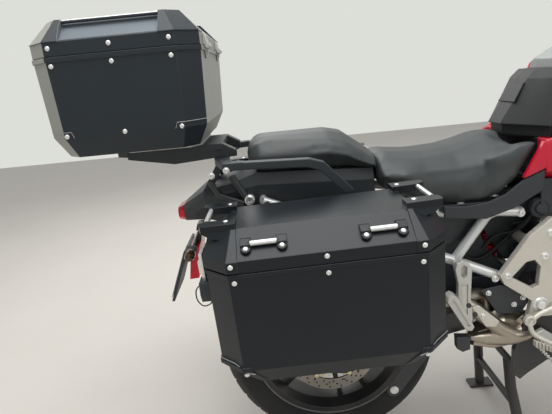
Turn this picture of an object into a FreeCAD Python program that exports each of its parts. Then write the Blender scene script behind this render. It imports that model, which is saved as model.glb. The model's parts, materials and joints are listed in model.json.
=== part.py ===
import FreeCAD, Part
import math
import os

import Sketcher

# Adventure motorcycle with two side cases and a top case, parked on its centre stand.
# Lengths are millimetres and angles degrees. The bike's own axes are +X forward, +Y to its
# left and +Z up. Sizes are laid out from the point on the ground below the rear axle, and
# each piece is then moved so that the origin is under the middle of the whole motorcycle.

os.makedirs("parts", exist_ok=True)
doc = FreeCAD.newDocument("AdventureMotorcycle")
sheet = doc.addObject("Spreadsheet::Sheet", "Sizes")


class Size:
    """A length or angle that knows its value and the spreadsheet formula behind it."""

    def __init__(self, value, formula):
        self.value = float(value)
        self.formula = formula

    @staticmethod
    def of(other):
        if isinstance(other, Size):
            return other
        return Size(other, repr(float(other)))

    def joined(self, other, sign, value):
        return Size(value, f"({self.formula} {sign} {other.formula})")

    def __add__(self, other):
        other = Size.of(other)
        return self.joined(other, "+", self.value + other.value)

    def __sub__(self, other):
        other = Size.of(other)
        return self.joined(other, "-", self.value - other.value)

    def __mul__(self, other):
        other = Size.of(other)
        return self.joined(other, "*", self.value * other.value)

    def __truediv__(self, other):
        other = Size.of(other)
        return self.joined(other, "/", self.value / other.value)

    def __radd__(self, other):
        return Size.of(other) + self

    def __rsub__(self, other):
        return Size.of(other) - self

    def __rmul__(self, other):
        return Size.of(other) * self

    def __rtruediv__(self, other):
        return Size.of(other) / self

    def __neg__(self):
        return Size(-self.value, f"(0 - {self.formula})")

    def __float__(self):
        return self.value


def sine(angle):
    return Size(math.sin(math.radians(angle.value)), f"sin(1deg * {angle.formula})")


def cosine(angle):
    return Size(math.cos(math.radians(angle.value)), f"cos(1deg * {angle.formula})")


# The driving dimensions, each written once; every one becomes a spreadsheet cell.
dimensions = {
    # Wheels, steering and stance.
    "wheelbase": 1562,
    "front_radius": 325,
    "rear_radius": 318,
    "rear_lift": 20,
    "rake": 24.5,
    "fork_offset": 41,
    "running_gap": 0.05,
    "seat_gap": 0.3,
    # Tyres and rims.
    "front_tyre_half": 60,
    "front_rim_seat": 238,
    "front_rim_half": 41,
    "crown_share": 0.42,
    "rear_tyre_half": 85,
    "rear_rim_seat": 214,
    "rear_rim_half": 60,
    "rim_wall": 7,
    "rim_lip": 12,
    "lip_width": 8,
    "hub_radius": 36,
    "front_hub_half": 48,
    "rear_hub_half": 52,
    "spoke_count": 5,
    "spoke_width": 17,
    "spoke_depth": 26,
    "front_axle_radius": 12.5,
    "rear_axle_radius": 14,
    "axle_bore": 9,
    # Brake discs and sprocket.
    "front_disc_radius": 160,
    "rear_disc_radius": 134,
    "disc_thickness": 5,
    "disc_band": 34,
    "guard_from": 22,
    "guard_sweep": 78,
    "front_disc_y": 66,
    "rear_disc_y": 78,
    "disc_holes": 15,
    "disc_hole": 4,
    "sprocket_radius": 106,
    "sprocket_y": 99,
    "sprocket_thickness": 7,
    "front_sprocket_radius": 43,
    "chain_height": 15,
    "chain_width": 15,
    # Frame, pivot and engine places.
    "pivot_x": 549,
    "pivot_z": 471,
    "pivot_bolt_radius": 10,
    "plate_out": 172,
    "plate_thickness": 18,
    "head_bottom": 862,
    "head_top": 1010,
    "head_tube_radius": 30,
    "stem_radius": 15,
    "frame_tube": 15,
    "subframe_tube": 13,
    "engine_half": 150,
    # Cases.
    "case_wall": 2.5,
    "pannier_middle": -29,
    "pannier_half": 239,
    "pannier_out": 465,
    "pannier_in": 239,
    "pannier_bottom": 510,
    "pannier_seam": 764,
    "pannier_lid_wall": 25,
    "pannier_lid_top": 836,
    "pannier_corner": 48,
    "pannier_slope": 61,
    "pannier_end_slope": 52,
    "pannier_crease": 552,
    "pannier_lean": 1.4,
    "ridge_half": 174,
    "ear_rise": 12,
    "lid_rod": 4,
    "rim_bead": 2,
    "bead_height": 7,
    "lid_gap": 1.2,
    "top_case_middle": -432,
    "top_case_half": 184,
    "top_case_side": 251,
    "top_case_bottom": 978,
    "top_case_seam": 1196,
    "top_case_lid_wall": 29,
    "instrument_half": 84,
    "top_case_lid_top": 1268,
    "top_case_corner": 46,
    "top_case_slope": 45,
    "cap_rise": 4,
    "hinge_radius": 6,
    "hinge_stand": 3,
    "hinge_pin": 3,
    "latch_depth": 12,
    "latch_width": 56,
    "latch_height": 60,
    # Seats, tail and racks.
    "seat_foot_x": 270,
    "cowl_front": 140,
    "cowl_top": 880,
    "tail_deck": 842,
    "tail_end": -370,
    "strut_rear": -304,
    "grab_out": 204,
    "rack_plate": 13.4,
    "carrier_tube": 8,
    "carrier_stud": 8,
    # Front cowl and screen.
    "cowl_back": 140,
    "screen_foot": 1071.7,
    "screen_top": 1445,
    "screen_radius": 330,
    # Stands.
    "stand_pivot_x": 505,
    "stand_pivot_z": 268,
    "stand_foot_x": 536,
    "stand_tube": 15,
    "side_stand_x": 600,
    "side_stand_z": 316,
    "side_stand_length": 236,
    "side_stand_pin": 8,
    "stand_pin": 10,
    # Front end.
    "fork_spread": 105,
    "fork_outer": 29,
    "fork_inner": 24,
    "fork_split": 345,
    "bar_radius": 11,
    "bar_end": 420,
    "front_guard_from": 52,
    "front_guard_sweep": 66,
    "front_guard_room": 16,
    "bar_rise": 64,
}


class Sizes:
    """The driving dimensions by name, each tied to its spreadsheet cell."""

    def __init__(self, table):
        for row, (name, value) in enumerate(table.items(), start=1):
            sheet.set(f"A{row}", str(value))
            sheet.setAlias(f"A{row}", name)
            setattr(self, name, Size(value, f"Sizes.{name}"))


v = Sizes(dimensions)

rear_axle_z = v.rear_radius + v.rear_lift
front_end = v.wheelbase + v.front_radius
rear_end = v.top_case_middle - v.top_case_half - v.latch_depth
middle_x = (front_end + rear_end) / 2
head_slope = sine(v.rake) / cosine(v.rake)
# Where the steering axis meets the ground, ahead of the front axle by the trail.
steer_ground_x = v.wheelbase + v.front_radius * head_slope - v.fork_offset / cosine(v.rake)


def steer_x(z):
    """How far forward the steering axis is at the height z."""
    return steer_ground_x - z * head_slope


def bind(thing, prop, size):
    thing.setExpression(prop, Size.of(size).formula)


def arc_middle(start, end, radius):
    """The middle of the short arc from start to end; it bulges left where radius is positive."""
    chord = end - start
    side = FreeCAD.Vector(-chord.y, chord.x, 0).normalize()
    reach = math.copysign(1.0, radius)
    half = chord.Length / 2
    rise = abs(radius) - math.sqrt(max(radius * radius - half * half, 0.0))
    return start + chord * 0.5 + side * (reach * rise)


def flat(point):
    return FreeCAD.Vector(float(point[0]), float(point[1]), 0)


def stretches(outline):
    """Edges of a closed outline of (across, up) points, with whether each runs forwards.

    A third value is the radius of the arc that arrives at that point; arcs turn left."""
    edges = []
    for start, end in zip(outline, outline[1:] + outline[:1]):
        if len(end) < 3:
            edges.append((Part.LineSegment(flat(start), flat(end)), True))
            continue
        middle = arc_middle(flat(start), flat(end), float(end[2]))
        forward = float(end[2]) < 0
        first, last = (start, end) if forward else (end, start)
        edges.append((Part.Arc(flat(first), middle, flat(last)), forward))
    return edges


def around(radius, angle, arc=None):
    """A point at an angle round the origin, reached by an arc where one is given."""
    point = (radius * cosine(angle), radius * sine(angle))
    return point if arc is None else point + (arc,)


def round_hole(across, up, radius):
    return {"across": across, "up": up, "radius": radius}


def both_sides(half):
    """A closed outline from its right half, listed from the bottom to the top."""
    left = [(-point[0],) + tuple(point[1:2]) for point in reversed(half)]
    right = [tuple(point[:2]) for point in half]
    return right + left


PLANES = {"X": "YZ_Plane", "Y": "XZ_Plane", "Z": "XY_Plane"}


class Piece:
    """One sub-part made as a PartDesign body, one feature after another."""

    def __init__(self, name, across=0.0, up=0.0, tilt=0.0, out=0.0):
        self.name = name
        self.body = doc.addObject("PartDesign::Body", name)
        self.body.Label = name
        self.count = 0
        turn = FreeCAD.Rotation(FreeCAD.Vector(0, 1, 0), float(tilt))
        self.body.Placement = FreeCAD.Placement(FreeCAD.Vector(0, 0, 0), turn)
        bind(self.body, "Placement.Base.x", across - middle_x)
        bind(self.body, "Placement.Base.y", out)
        bind(self.body, "Placement.Base.z", up)

    def origin(self, role):
        return next(item for item in self.body.Origin.OriginFeatures if item.Role == role)

    def add(self, kind, word):
        self.count += 1
        return self.body.newObject(kind, f"{self.name}_{word}_{self.count}")

    def sketch(self, facing, offset, outlines):
        """A sketch that faces along X, Y or Z; along Y its plane lies at Y = offset."""
        drawing = self.add("Sketcher::SketchObject", "outline")
        drawing.AttachmentSupport = (self.origin(PLANES[facing]), [""])
        drawing.MapMode = "FlatFace"
        bind(drawing, "AttachmentOffset.Base.z", -offset if facing == "Y" else offset)
        for outline in outlines:
            if isinstance(outline, dict):
                self.draw_circle(drawing, outline)
            else:
                self.draw_outline(drawing, outline)
        return drawing

    def draw_circle(self, drawing, circle):
        middle = flat((circle["across"], circle["up"]))
        shape = Part.Circle(middle, FreeCAD.Vector(0, 0, 1), float(circle["radius"]))
        index = drawing.addGeometry(shape)
        self.fix_point(drawing, index, 3, (circle["across"], circle["up"]))
        radius = Size.of(circle["radius"])
        rule = drawing.addConstraint(Sketcher.Constraint("Radius", index, radius.value))
        if "Sizes" in radius.formula:
            drawing.setExpression(f"Constraints[{rule}]", radius.formula)

    def fix_point(self, drawing, index, end, point):
        for kind, value in zip(("DistanceX", "DistanceY"), point):
            value = Size.of(value)
            rule = Sketcher.Constraint(kind, -1, 1, index, end, value.value)
            number = drawing.addConstraint(rule)
            if "Sizes" in value.formula:
                drawing.setExpression(f"Constraints[{number}]", value.formula)

    def draw_outline(self, drawing, outline):
        first = drawing.GeometryCount
        ends = []
        for edge, forward in stretches(outline):
            drawing.addGeometry(edge)
            ends.append((1, 2) if forward else (2, 1))
        count = len(outline)
        for step in range(count):
            following = (step + 1) % count
            rule = Sketcher.Constraint("Coincident", first + step, ends[step][1],
                                       first + following, ends[following][0])
            drawing.addConstraint(rule)
        for step, point in enumerate(outline):
            self.fix_point(drawing, first + step, ends[step][0], point[:2])
            arriving = outline[(step + 1) % count]
            if len(arriving) == 3:
                radius = Size.of(arriving[2])
                rule = Sketcher.Constraint("Radius", first + step, abs(radius.value))
                number = drawing.addConstraint(rule)
                if "Sizes" in radius.formula:
                    sign = "" if radius.value > 0 else "-1 * "
                    drawing.setExpression(f"Constraints[{number}]", sign + radius.formula)

    def pad(self, facing, low, high, *outlines):
        """Material between low and high along X, Y or Z."""
        drawing = self.sketch(facing, high if facing == "Y" else low, outlines)
        block = self.add("PartDesign::Pad", "pad")
        block.Profile = drawing
        bind(block, "Length", high - low)
        return block

    def cut(self, facing, low, high, *outlines):
        """A pocket between low and high along X, Y or Z."""
        drawing = self.sketch(facing, high if facing == "Y" else low, outlines)
        pocket = self.add("PartDesign::Pocket", "cut")
        pocket.Profile = drawing
        pocket.Reversed = True
        bind(pocket, "Length", high - low)
        return pocket

    def turned(self, outline):
        """Material turned about the Y axis from an outline of (radius, y) points."""
        drawing = self.sketch("Z", 0.0, [outline])
        ring = self.add("PartDesign::Revolution", "turned")
        ring.Profile = drawing
        ring.ReferenceAxis = (drawing, ["V_Axis"])
        ring.Angle = 360
        return ring

    def repeated(self, features, count):
        pattern = self.add("PartDesign::PolarPattern", "around")
        pattern.Originals = features
        pattern.Axis = (self.origin("Y_Axis"), [""])
        pattern.Angle = 360
        bind(pattern, "Occurrences", count)
        self.body.Tip = pattern
        return pattern

    def loft(self, facing, sections, ruled=True):
        """Material through (offset, outline) sections in order."""
        drawings = [self.sketch(facing, offset, [outline]) for offset, outline in sections]
        skin = self.add("PartDesign::AdditiveLoft", "loft")
        skin.Profile = drawings[0]
        skin.Sections = drawings[1:]
        skin.Ruled = ruled
        return skin

    def hollow(self, facing, sections):
        """A tapering space through (offset, outline) sections in order."""
        drawings = [self.sketch(facing, offset, [outline]) for offset, outline in sections]
        space = self.add("PartDesign::SubtractiveLoft", "hollow")
        space.Profile = drawings[0]
        space.Sections = drawings[1:]
        space.Ruled = True
        return space

    def mirrored(self):
        """Adds the same shape on the other side of the bike's middle plane."""
        doc.recompute()
        copy = self.add("PartDesign::Mirrored", "mirrored")
        copy.TransformMode = "Whole shape"
        copy.Originals = [self.body.Tip]
        copy.MirrorPlane = (self.origin("XZ_Plane"), [""])
        self.body.Tip = copy
        return copy


def vector(x, y, z):
    return FreeCAD.Vector(float(x), float(y), float(z))


def tube(points, radius, bend=60.0):
    """A round bar along straight runs joined by arcs that touch both runs."""
    points = [vector(*point) for point in points]
    start = points[0]
    edges = []
    for before, corner, after in zip(points, points[1:], points[2:]):
        back = (before - corner).normalize()
        on = (after - corner).normalize()
        half_turn = (math.pi - back.getAngle(on)) / 2
        room = 0.45 * min((before - corner).Length, (after - corner).Length)
        if half_turn > 0.01:
            trim = min(bend * math.tan(half_turn), room)
            first = corner + back * trim
            last = corner + on * trim
            sag = trim / math.tan(half_turn) * (1 / math.cos(half_turn) - 1)
            middle = corner + (back + on).normalize() * sag
            edges.append(Part.LineSegment(start, first).toShape())
            edges.append(Part.Arc(first, middle, last).toShape())
            start = last
    edges.append(Part.LineSegment(start, points[-1]).toShape())
    path = Part.Wire(edges)
    ring = Part.Wire(Part.makeCircle(float(radius), points[0], points[1] - points[0]))
    return path.makePipeShell([ring], True, True)


def rod(start, end, radius):
    start = vector(*start)
    along = vector(*end) - start
    return Part.makeCylinder(float(radius), along.Length, start, along)


def both(shape):
    """The shape and its mirror image on the other side of the bike."""
    return [shape, shape.mirror(FreeCAD.Vector(0, 0, 0), FreeCAD.Vector(0, 1, 0))]


def joined(shapes):
    shapes = list(shapes)
    if len(shapes) == 1:
        return shapes[0]
    return shapes[0].fuse(shapes[1:]).removeSplitter()


def feature(name, shape, across=0.0, up=0.0, tilt=0.0):
    thing = doc.addObject("Part::Feature", name)
    thing.Label = name
    thing.Shape = shape
    turn = FreeCAD.Rotation(FreeCAD.Vector(0, 1, 0), float(tilt))
    thing.Placement = FreeCAD.Placement(vector(across - middle_x, 0, up), turn)
    return thing


# Wheels. Each is drawn about its own axle, which lies along Y.

def tyre(name, across, up, outer, half, seat, rim_half):
    piece = Piece(name, across, up)
    inner = seat + v.seat_gap
    side = rim_half - v.seat_gap
    crown_rise = (outer - seat) * v.crown_share
    shoulder = outer - crown_rise
    crown = (half * half + crown_rise * crown_rise) / (crown_rise * 2)
    bulge = seat + (outer - seat) * 0.42
    above_lip = seat + v.rim_lip + v.seat_gap
    piece.turned([(above_lip, -side, half * 0.9), (inner, -side), (inner, side), (above_lip, side),
                  (bulge, half, half * 0.9), (shoulder, half), (shoulder, -half, crown), (bulge, -half)])
    return piece


def rim(name, across, up, seat, half, hub_half, axle):
    piece = Piece(name, across, up)
    lip = seat + v.rim_lip
    well = seat - v.rim_wall
    edge = half + v.lip_width
    piece.turned([(well - v.rim_wall, -half * 0.5), (well, -edge), (lip, -edge), (lip, -half),
                  (seat, -half), (seat, half), (lip, half), (lip, edge), (well, edge),
                  (well - v.rim_wall, half * 0.5)])
    bore = axle + v.running_gap
    piece.turned([(bore, -hub_half), (v.hub_radius, -hub_half), (v.hub_radius, hub_half),
                  (bore, hub_half)])
    reach = well - 1.0
    start = v.hub_radius - 3.0
    root = v.spoke_width * 0.95
    arms = []
    for side in (-1, 1):
        near = side * (root - v.spoke_width / 2)
        far = side * (root + v.spoke_width / 2)
        tip_near = side * (root + v.spoke_width)
        tip_far = side * (root + v.spoke_width * 1.8)
        outline = [(start, near), (reach, tip_near), (reach, tip_far), (start, far)]
        if side < 0:
            outline = outline[::-1]
        arms.append(piece.pad("Y", -v.spoke_depth / 2, v.spoke_depth / 2, outline))
    piece.repeated(arms, v.spoke_count)
    return piece


def disc(piece, side, middle_y, outer, hub_half):
    """A drilled brake ring with its carrier, on one side of a wheel."""
    low = middle_y - v.disc_thickness / 2
    high = middle_y + v.disc_thickness / 2
    inner = outer - v.disc_band
    foot = side * (hub_half + v.seat_gap)
    piece.turned([(v.hub_radius - 12.0, foot), (v.hub_radius, foot), (v.hub_radius + 8.0, middle_y),
                  (v.hub_radius - 12.0, middle_y)])
    piece.turned([(inner, low), (outer, low), (outer, high), (inner, high)])
    piece.turned([(v.hub_radius + 4.0, low + 0.5), (v.hub_radius + 22.0, low + 0.5),
                  (v.hub_radius + 22.0, high - 0.5), (v.hub_radius + 4.0, high - 0.5)])
    arm = piece.pad("Y", low + 1.0, high - 1.0,
                    [(v.hub_radius + 20.0, -9.0), (inner + 2.0, -6.0), (inner + 2.0, 6.0),
                     (v.hub_radius + 20.0, 9.0)])
    piece.repeated([arm], 6.0)
    hole = piece.cut("Y", low - 1.0, high + 1.0, round_hole(inner + v.disc_band * 0.3, 0.0, v.disc_hole))
    piece.repeated([hole], v.disc_holes)


front_tyre = tyre("front_tyre", v.wheelbase, v.front_radius, v.front_radius, v.front_tyre_half,
                  v.front_rim_seat, v.front_rim_half)
rear_tyre = tyre("rear_tyre", 0.0, rear_axle_z, v.rear_radius, v.rear_tyre_half,
                 v.rear_rim_seat, v.rear_rim_half)
front_rim = rim("front_rim", v.wheelbase, v.front_radius, v.front_rim_seat, v.front_rim_half,
                v.front_hub_half, v.front_axle_radius)
rear_rim = rim("rear_rim", 0.0, rear_axle_z, v.rear_rim_seat, v.rear_rim_half,
               v.rear_hub_half, v.rear_axle_radius)

front_discs = Piece("front_discs", v.wheelbase, v.front_radius)
disc(front_discs, 1.0, v.front_disc_y, v.front_disc_radius, v.front_hub_half)
front_discs.mirrored()
rear_disc = Piece("rear_disc", 0.0, rear_axle_z)
disc(rear_disc, -1.0, -v.rear_disc_y, v.rear_disc_radius, v.rear_hub_half)

rear_sprocket = Piece("rear_sprocket", 0.0, rear_axle_z)
tooth_bed = v.sprocket_radius - v.chain_height / 2 - 1.0
sprocket_low = v.sprocket_y - v.sprocket_thickness / 2
sprocket_high = v.sprocket_y + v.sprocket_thickness / 2
rear_sprocket.pad("Y", sprocket_low, sprocket_high, round_hole(0.0, 0.0, tooth_bed),
                  round_hole(0.0, 0.0, v.hub_radius + 6.0))
rear_sprocket.pad("Y", v.rear_hub_half + v.seat_gap, sprocket_high,
                  round_hole(0.0, 0.0, v.hub_radius + 20.0),
                  round_hole(0.0, 0.0, v.hub_radius - 12.0))
lightening = rear_sprocket.cut("Y", sprocket_low - 1.0, sprocket_high + 1.0,
                               round_hole(v.hub_radius + 36.0, 0.0, 9.0))
rear_sprocket.repeated([lightening], 6.0)

# The chain is one loop round both sprockets, with the small front sprocket inside it.
front_sprocket_x = v.pivot_x + 78.0
front_sprocket_z = v.pivot_z - 8.0
run = math.hypot(float(front_sprocket_x), float(front_sprocket_z - rear_axle_z))
rise = math.asin((float(front_sprocket_z) - float(rear_axle_z)) / run)


def chain_loop(spare):
    """The closed band round both sprockets, grown outwards by spare."""
    big = float(v.sprocket_radius) + spare
    small = float(v.front_sprocket_radius) + spare
    lean = math.asin((big - small) / run)
    points = []
    for angle, radius, x, z in ((rise + math.pi / 2 - lean, big, 0.0, rear_axle_z),
                                (rise + math.pi / 2 - lean, small, front_sprocket_x, front_sprocket_z),
                                (rise - math.pi / 2 + lean, small, front_sprocket_x, front_sprocket_z),
                                (rise - math.pi / 2 + lean, big, 0.0, rear_axle_z)):
        points.append(FreeCAD.Vector(float(x) + radius * math.cos(angle), 0,
                                     float(z) + radius * math.sin(angle)))
    nose = FreeCAD.Vector(float(front_sprocket_x) + small * math.cos(rise), 0,
                          float(front_sprocket_z) + small * math.sin(rise))
    back = FreeCAD.Vector(-big * math.cos(rise), 0, float(rear_axle_z) - big * math.sin(rise))
    top_rear, top_front, low_front, low_rear = points
    return Part.Wire([Part.LineSegment(top_rear, top_front).toShape(),
                      Part.Arc(top_front, nose, low_front).toShape(),
                      Part.LineSegment(low_front, low_rear).toShape(),
                      Part.Arc(low_rear, back, top_rear).toShape()])


half_link = float(v.chain_height) / 2
band = Part.Face(chain_loop(half_link)).cut(Part.Face(chain_loop(-half_link)))
chain = band.extrude(vector(0, v.chain_width, 0))
chain.translate(vector(0, v.sprocket_y - v.chain_width / 2, 0))
small_wheel = rod((front_sprocket_x, v.sprocket_y - 4.0, front_sprocket_z),
                  (front_sprocket_x, v.sprocket_y + 4.0, front_sprocket_z), v.front_sprocket_radius - 7.0)
feature("drive_chain", joined([chain, small_wheel]))

# Swingarm: a side view cut to its plan view, with the rear axle through its ends.
swingarm = Piece("swingarm")
arm_out = v.plate_out - v.plate_thickness - 6.0
arm_end = v.rear_disc_y + 72.0
swingarm.pad("Y", -arm_end, arm_end,
             [(v.pivot_x - 6.0, v.pivot_z + 36.0), (v.pivot_x - 290.0, v.pivot_z - 28.0),
              (40.0, rear_axle_z + 36.0), (-52.0, rear_axle_z + 32.0), (-60.0, rear_axle_z - 26.0),
              (30.0, rear_axle_z - 36.0), (v.pivot_x - 290.0, v.pivot_z - 88.0),
              (v.pivot_x - 60.0, v.pivot_z - 40.0), (v.pivot_x + 4.0, v.pivot_z - 36.0),
              (v.pivot_x + 36.0, v.pivot_z - 4.0), (v.pivot_x + 30.0, v.pivot_z + 22.0)])
wheel_room = v.rear_tyre_half + 32.0
front_gap = v.rear_radius + 40.0
swingarm.cut("Z", 200.0, 700.0,
             [(-100.0, -wheel_room), (front_gap - 90.0, -wheel_room),
              (front_gap - 20.0, -v.rear_tyre_half),
              (front_gap, -v.rear_tyre_half + 40.0), (front_gap, v.rear_tyre_half - 40.0),
              (front_gap - 20.0, v.rear_tyre_half), (front_gap - 90.0, wheel_room), (-100.0, wheel_room)])
for side in (-1.0, 1.0):
    near = side * (v.rear_tyre_half - 4.0)
    swingarm.cut("Z", 200.0, 700.0,
                 [(front_gap + 10.0, side * 170.0), (front_gap + 40.0, near), (v.pivot_x + 60.0, near),
                  (v.pivot_x + 60.0, side * 170.0)][::int(side)])
swingarm.pad("Y", -arm_end, arm_end, round_hole(0.0, rear_axle_z, v.rear_axle_radius))
swingarm.cut("Y", -arm_end - 1.0, arm_end + 1.0, round_hole(0.0, rear_axle_z, v.axle_bore))
swingarm.cut("Y", -arm_end - 1.0, arm_end + 1.0,
             round_hole(v.pivot_x, v.pivot_z, v.pivot_bolt_radius + v.seat_gap))

# Pivot plates, cast, with a window and a bolt lobe for the subframe, and the pivot bolt.
pivot_plates = Piece("pivot_plates")
plate_in = v.plate_out - v.plate_thickness
pivot_plates.pad("Y", plate_in, v.plate_out,
                 [(v.pivot_x - 108.0, v.pivot_z + 92.0), (v.pivot_x - 96.0, v.pivot_z + 66.0),
                  (v.pivot_x - 22.0, v.pivot_z + 12.0), (v.pivot_x - 26.0, v.pivot_z - 18.0),
                  (v.stand_pivot_x - 18.0, v.stand_pivot_z + 70.0),
                  (v.stand_pivot_x - 18.0, v.stand_pivot_z - 4.0),
                  (v.stand_pivot_x, v.stand_pivot_z - 20.0), (v.stand_pivot_x + 18.0,
                                                              v.stand_pivot_z - 4.0),
                  (v.pivot_x + 30.0, v.pivot_z - 168.0), (v.pivot_x + 66.0, v.pivot_z - 174.0),
                  (v.pivot_x + 78.0, v.pivot_z - 90.0), (v.pivot_x + 60.0, v.pivot_z + 20.0),
                  (v.pivot_x + 96.0, v.pivot_z + 150.0), (v.pivot_x + 90.0, v.pivot_z + 232.0),
                  (v.pivot_x + 16.0, v.pivot_z + 236.0), (v.pivot_x - 38.0, v.pivot_z + 192.0)])
pivot_plates.cut("Y", plate_in - 1.0, v.plate_out + 1.0,
                 [(v.pivot_x - 78.0, v.pivot_z + 84.0), (v.pivot_x - 22.0, v.pivot_z + 48.0),
                  (v.pivot_x - 7.0, v.pivot_z + 54.0), (v.pivot_x - 4.0, v.pivot_z + 108.0),
                  (v.pivot_x - 20.0, v.pivot_z + 128.0), (v.pivot_x - 42.0, v.pivot_z + 124.0)])
pivot_plates.cut("Y", plate_in - 1.0, v.plate_out + 1.0,
                 round_hole(v.stand_pivot_x, v.stand_pivot_z, v.stand_pin + v.running_gap),
                 round_hole(v.side_stand_x, v.side_stand_z, v.side_stand_pin + v.running_gap))
pivot_plates.mirrored()
pivot_plates.pad("Y", -plate_in, plate_in, round_hole(v.pivot_x, v.pivot_z, v.pivot_bolt_radius))
pivot_plates.pad("Y", -plate_in, plate_in, round_hole(v.pivot_x - 13.6, v.pivot_z + 158.8, v.frame_tube))

# Main frame: a head tube and a trellis of round tubes down to the pivot plates.
head_low = (steer_x(v.head_bottom), 0.0, v.head_bottom)
head_high = (steer_x(v.head_top), 0.0, v.head_top)
head_mid_low = (steer_x(v.head_bottom + 26.0), 0.0, v.head_bottom + 26.0)
head_mid_high = (steer_x(v.head_top - 26.0), 0.0, v.head_top - 26.0)
frame_y = plate_in - v.frame_tube - v.seat_gap
trellis_top = (v.pivot_x + 50.0, frame_y, v.pivot_z + 226.0)
trellis_bottom = (v.pivot_x + 330.0, v.engine_half + 18.0, v.pivot_z + 170.0)
shoulder_high = (v.pivot_x + 330.0, v.engine_half + 18.0, v.pivot_z + 330.0)
rails = []
rail_leaves = v.pivot_x + 116.0
for run_points in ([head_mid_high, shoulder_high, (rail_leaves, frame_y, v.pivot_z + 250.0), trellis_top],
                   [head_mid_low, (v.pivot_x + 500.0, v.engine_half - 40.0, v.pivot_z + 250.0),
                    trellis_bottom,
                    (rail_leaves, frame_y, v.pivot_z + 146.0),
                    (v.pivot_x + 64.0, frame_y, v.pivot_z + 140.0)],
                   [(v.pivot_x + 500.0, v.engine_half - 40.0, v.pivot_z + 250.0),
                    (v.pivot_x + 420.0, v.engine_half - 3.0, v.pivot_z + 348.0)],
                   [shoulder_high, trellis_bottom]):
    rails += both(tube(run_points, v.frame_tube))
head_tube = rod(head_low, head_high, v.head_tube_radius)
stay = rod((steer_x(948.0) + 10.0, 0.0, 948.0), (v.wheelbase - v.cowl_back - v.seat_gap, 0.0, 948.0),
           12.0)
tank_rests = both(rod((740.0, 146.0, 749.0), (740.0, 146.0, 790.0 - v.seat_gap), 9.0))
main_frame = joined([head_tube, stay] + rails + tank_rests)
stem_room = rod(head_low, head_high, v.stem_radius + v.running_gap)
stem_room = joined([stem_room, rod((steer_x(v.head_bottom - 40.0), 0.0, v.head_bottom - 40.0), head_low,
                                   v.head_tube_radius + 5.0)])
feature("main_frame", main_frame.cut(stem_room))

# Subframe: bent tubes from the plates to the tail.
rail_y = plate_in - v.subframe_tube - v.seat_gap
lobe = (v.pivot_x - 105.0, rail_y, v.pivot_z + 82.0)
knee = (v.pivot_x - 216.0, rail_y, v.pivot_z + 134.0)
elbow = (v.pivot_x - 126.0, rail_y, v.pivot_z + 260.0)
plate_end = (v.pivot_x - 47.0, rail_y, v.pivot_z + 252.0)
tail_low = (-150.0, 128.0, 810.0)


def subframe_out(x):
    """The outer side of the long lower tube, which closes in towards the tail."""
    share = (x - tail_low[0]) / (knee[0] - tail_low[0])
    return tail_low[1] + (rail_y - tail_low[1]) * share + v.subframe_tube


subframe_parts = []
for run_points in ([lobe, knee, tail_low],
                   [plate_end, elbow, knee],
                   [elbow, (300.0, rail_y - 6.0, 738.0), (v.cowl_front - 8.0, 92.0, 784.0)]):
    subframe_parts += both(tube(run_points, v.subframe_tube, 40.0))
for x, z in (elbow[::2], plate_end[::2]):
    subframe_parts.append(rod((x, -rail_y, z), (x, rail_y, z), v.subframe_tube - 2.0))
subframe_parts += both(rod((-150.0, 100.6, 812.0), (-150.0, 128.0, 812.0), 9.0))
# A rubber rest each side for the seat, and a strap down to the silencer on the right.
subframe_parts += both(rod((350.0, 136.0, 735.0), (350.0, 136.0, 762.0 - v.seat_gap), 9.0))
subframe_parts.append(rod((100.0, -141.0, 590.7), (100.0, -141.0, 704.0), 7.0))
cowl_room = Part.makeBox(60.0, 240.0, 90.0, vector(v.cowl_front - 60.0 + v.seat_gap, -120.0, 740.0))
feature("subframe", joined(subframe_parts).cut(cowl_room))

# Engine: one closed block, a V of two cylinders over a crankcase.
engine = Piece("engine")
engine_in = v.engine_half - 20.0
engine.pad("Y", -engine_in, engine_in,
           [(v.pivot_x + 60.0, v.pivot_z - 41.0), (v.pivot_x + 151.0, v.pivot_z - 169.0),
            (v.pivot_x + 380.0, v.pivot_z - 185.0), (v.pivot_x + 440.0, v.pivot_z - 130.0),
            (v.pivot_x + 430.0, v.pivot_z - 20.0), (v.pivot_x + 330.0, v.pivot_z + 60.0),
            (v.pivot_x + 110.0, v.pivot_z + 60.0), (v.pivot_x + 62.0, v.pivot_z + 10.0)])
engine.pad("Y", -105.0, 105.0,
           [(v.pivot_x + 180.0, v.pivot_z + 20.0), (v.pivot_x + 300.0, v.pivot_z + 20.0),
            (v.pivot_x + 262.0, v.pivot_z + 262.0), (v.pivot_x + 112.0, v.pivot_z + 240.0)])
engine.pad("Y", -105.0, 105.0,
           [(v.pivot_x + 330.0, v.pivot_z - 60.0), (v.pivot_x + 560.0, v.pivot_z + 70.0),
            (v.pivot_x + 490.0, v.pivot_z + 190.0), (v.pivot_x + 270.0, v.pivot_z + 60.0)])
for side in (-1.0, 1.0):
    low, high = sorted((side * engine_in, side * (v.engine_half + 4.0)), key=float)
    engine.pad("Y", low, high, round_hole(v.pivot_x + 300.0, v.pivot_z - 60.0, 88.0))

engine.cut("Y", v.sprocket_y - 16.0, v.engine_half + 5.0,
           [(front_sprocket_x - 60.0, front_sprocket_z - 62.0),
            (front_sprocket_x + 62.0, front_sprocket_z - 62.0),
            (front_sprocket_x + 62.0, front_sprocket_z + 62.0),
            (front_sprocket_x - 60.0, front_sprocket_z + 62.0)])

for side in (-1.0, 1.0):
    low, high = sorted((side * 100.0, side * 132.2), key=float)
    engine.pad("Y", low, high, round_hole(v.pivot_x + 191.0, v.pivot_z + 154.0, 10.0))

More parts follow.
